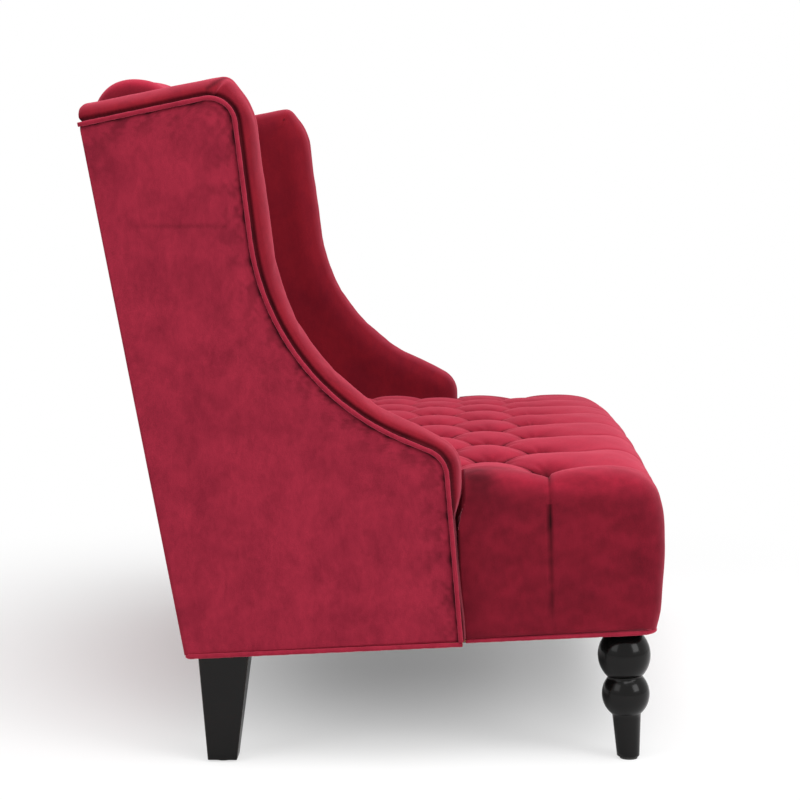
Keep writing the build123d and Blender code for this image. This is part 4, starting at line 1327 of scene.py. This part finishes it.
def aim(thing, place, direction):
    """Put a lamp or a camera at a place, looking in this direction."""
    thing.location = place
    thing.rotation_euler = direction.to_track_quat("-Z", "Y").to_euler()


def make_stage(lens, light, backdrop_hex):
    """White floor and backdrop, soft lamps, the world and the camera."""
    make_floor(backdrop_hex)
    make_world(light, backdrop_hex)
    for name, place, size, watts in (
        ("lamp_above", (-1.2, -0.6, 3.4), 2.6, 95.0),
        ("lamp_front", (-2.6, -3.0, 1.9), 1.8, 55.0),
        ("lamp_rear", (-2.8, 2.6, 2.2), 2.0, 30.0),
    ):
        lamp = bpy.data.lights.new(name, "AREA")
        lamp.size, lamp.energy = size, watts * light
        aim(placed(name, lamp), place, Vector((0, 0, 0.5)) - Vector(place))
    camera = bpy.data.cameras.new("camera")
    camera.lens, camera.sensor_width = lens, 36.0
    holder = placed("camera", camera)
    aim(holder, (-3.620, -0.10573, 0.83426), Vector((0.994945, 0.022231, -0.097931)))
    bpy.context.scene.camera = holder
    bpy.context.scene.view_settings.view_transform = "Standard"


# ---------------------------------------------------------------- add-on

class SetteeLooks(bpy.types.PropertyGroup):
    """Colours of the settee's velvet, as sRGB hex."""
    velvet_hex: bpy.props.StringProperty(name="Velvet", description="Tufted velvet, pile upright", default="9c1f34")
    # the fourth velvet shade is a painted sheen colour, mixed in where the velvet is seen at a low angle
    painted_sheen_hex: bpy.props.StringProperty(name="Tips", description="Velvet seen along its pile", default="c84a60")
    wing_hex: bpy.props.StringProperty(name="Wings", description="Velvet of the arms and wings", default="821624")
    panel_hex: bpy.props.StringProperty(name="Panels", description="Velvet of the sides", default="8e2235")


class SetteeStage(bpy.types.PropertyGroup):
    """Camera and light."""
    lens: bpy.props.FloatProperty(name="Lens", description="Focal length", default=94.2, unit="CAMERA")
    light: bpy.props.FloatProperty(name="Light", description="Strength of the lamps", default=1.0, min=0.0)
    backdrop_hex: bpy.props.StringProperty(name="Backdrop", description="Floor and backdrop", default="ffffff")


class SETTEE_OT_finishes(bpy.types.Operator):
    """Give the frame's nodes their finishes"""
    bl_idname = "settee.finishes"
    bl_label = "Finishes"

    def execute(self, context):
        dress_nodes()
        return {"FINISHED"}


class SETTEE_OT_seat(bpy.types.Operator):
    """Build the tufted seat"""
    bl_idname = "settee.seat"
    bl_label = "Tufted seat"

    def execute(self, context):
        seat = make_seat_mesh().build("seat_cushion_tufted")
        finish_piece(seat, "velvet_tufted", "seat_cushion")
        paint_shade_and_nap(seat, seat_painted_shade)
        return {"FINISHED"}


class SETTEE_OT_back(bpy.types.Operator):
    """Build the tufted inside back"""
    bl_idname = "settee.back"
    bl_label = "Tufted back"

    def execute(self, context):
        back = make_back_mesh().build("inside_back_tufted")
        finish_piece(back, "velvet_tufted", "inside_back")
        paint_shade_and_nap(back, back_painted_shade)
        return {"FINISHED"}


class SETTEE_OT_wings(bpy.types.Operator):
    """Build the padded arms and wings"""
    bl_idname = "settee.wings"
    bl_label = "Arms and wings"

    def execute(self, context):
        left = make_wing_mesh().build("wing_padding_left")
        settle(left, hold_wing(left), SWELL_CAP)
        subdivided(left)
        for side, wing in (("left", left), ("right", mirrored_copy(left, "wing_padding_right"))):
            finish_piece(wing, "velvet_wing", f"wing_pad_{side}")
            paint_shade_and_nap(wing, wing_shade_and_nap)
        return {"FINISHED"}


class SETTEE_OT_covers(bpy.types.Operator):
    """Build the flat covers of the sides and the back"""
    bl_idname = "settee.covers"
    bl_label = "Flat covers"

    def execute(self, context):
        for side in ("left", "right"):
            panel = make_panel_mesh().build(f"side_panel_cloth_{side}", mirrored=side == "right")
            finish_piece(panel, "velvet_panel", f"side_panel_{side}")
            paint_shade_and_nap(panel, panel_nap_and_shade)
        back = make_outside_back_mesh().build("outside_back_cloth")
        finish_piece(back, "velvet_panel", "outside_back")
        return {"FINISHED"}


class SETTEE_OT_piping(bpy.types.Operator):
    """Build the piping of the sides and round the base"""
    bl_idname = "settee.piping"
    bl_label = "Piping"

    def execute(self, context):
        for side in ("left", "right"):
            welt = make_welt_mesh(side_welt_path(), (1, 0, 0), 1.0)
            welt = welt.build(f"side_piping_{side}", mirrored=side == "right")
            finish_piece(welt, "velvet_piping", f"side_welt_{side}")
        ear = SEAT_HALF - WELT_RADIUS, PAD_CORNERS[0][0] - 1, SEAT_FRONT + 8.5 + WELT_RADIUS
        welt = make_welt_mesh(base_run(*ear, 26.0), (0, 0, 1), 2.0).build("seat_base_piping")
        finish_piece(welt, "velvet_piping", "seat_base_welt")
        rear = HALF - WELT_RADIUS, PANEL_CORNERS[0][0] + WELT_RADIUS, REAR_FOOT[0] - WELT_RADIUS
        welt = make_welt_mesh(base_run(*rear, 7.0), (0, 0, 1), 3.0).build("back_base_piping")
        finish_piece(welt, "velvet_piping", "back_base_welt")
        return {"FINISHED"}


class SETTEE_OT_underside(bpy.types.Operator):
    """Build the webbing, the felt and the dust cover"""
    bl_idname = "settee.underside"
    bl_label = "Webbing, felt and dust cover"

    def execute(self, context):
        webbing = make_seat_webbing_mesh().build("seat_webbing_woven")
        finish_piece(webbing, "webbing", "seat_webbing")
        finish_piece(make_back_webbing_mesh().build("back_webbing_woven"), "webbing", "back_webbing")
        felt = make_layer_mesh(541.7, (-404.9, 126.0), 67.3, 2.8, 0.1, 0.0, 71).build("seat_felt_pad")
        finish_piece(felt, "felt", "seat_felt")
        dust = make_layer_mesh(PLY_INNER, (FRAME_FRONT, FRAME_REAR), 0.1, 0.9, FRAME_CORNER, 3.5, 73)
        dust = dust.build("dust_cover_cloth")
        finish_piece(dust, "dust_cloth", "dust_cover")
        return {"FINISHED"}


class SETTEE_OT_legs(bpy.types.Operator):
    """Build the turned front legs"""
    bl_idname = "settee.legs"
    bl_label = "Front legs"

    def execute(self, context):
        for side in ("left", "right"):
            leg = make_leg_mesh().build(f"front_leg_turned_{side}", mirrored=side == "right")
            finish_piece(leg, "black_lacquer", f"front_leg_{side}")
        return {"FINISHED"}


class SETTEE_OT_stage(bpy.types.Operator):
    """Set the floor, the light and the camera"""
    bl_idname = "settee.stage"
    bl_label = "Stage"

    def execute(self, context):
        stage = context.scene.settee_stage
        make_stage(stage.lens, stage.light, stage.backdrop_hex)
        return {"FINISHED"}


OPERATORS = (
    SETTEE_OT_finishes, SETTEE_OT_seat, SETTEE_OT_back, SETTEE_OT_wings, SETTEE_OT_covers,
    SETTEE_OT_piping, SETTEE_OT_underside, SETTEE_OT_legs, SETTEE_OT_stage,
)


class SETTEE_PT_panel(bpy.types.Panel):
    """Settee pieces and looks"""
    bl_label = "Settee"
    bl_idname = "SETTEE_PT_panel"
    bl_space_type = "VIEW_3D"
    bl_region_type = "UI"
    bl_category = "Settee"

    def draw(self, context):
        for group in (context.scene.settee_looks, context.scene.settee_stage):
            for name in group.bl_rna.properties.keys():
                if name not in ("rna_type", "name"):
                    self.layout.prop(group, name)
        for operator in OPERATORS:
            self.layout.operator(operator.bl_idname)


CLASSES = (SetteeLooks, SetteeStage, *OPERATORS, SETTEE_PT_panel)


def register():
    for each in CLASSES:
        bpy.utils.register_class(each)
    bpy.types.Scene.settee_looks = bpy.props.PointerProperty(type=SetteeLooks)
    bpy.types.Scene.settee_stage = bpy.props.PointerProperty(type=SetteeStage)


def unregister():
    del bpy.types.Scene.settee_stage
    del bpy.types.Scene.settee_looks
    for each in reversed(CLASSES):
        bpy.utils.unregister_class(each)


def main():
    """Register the add-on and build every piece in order."""
    register()
    for step in (
        bpy.ops.settee.finishes, bpy.ops.settee.seat, bpy.ops.settee.back, bpy.ops.settee.wings,
        bpy.ops.settee.covers, bpy.ops.settee.piping, bpy.ops.settee.underside, bpy.ops.settee.legs,
        bpy.ops.settee.stage,
    ):
        step()


if __name__ == "__main__":
    main()
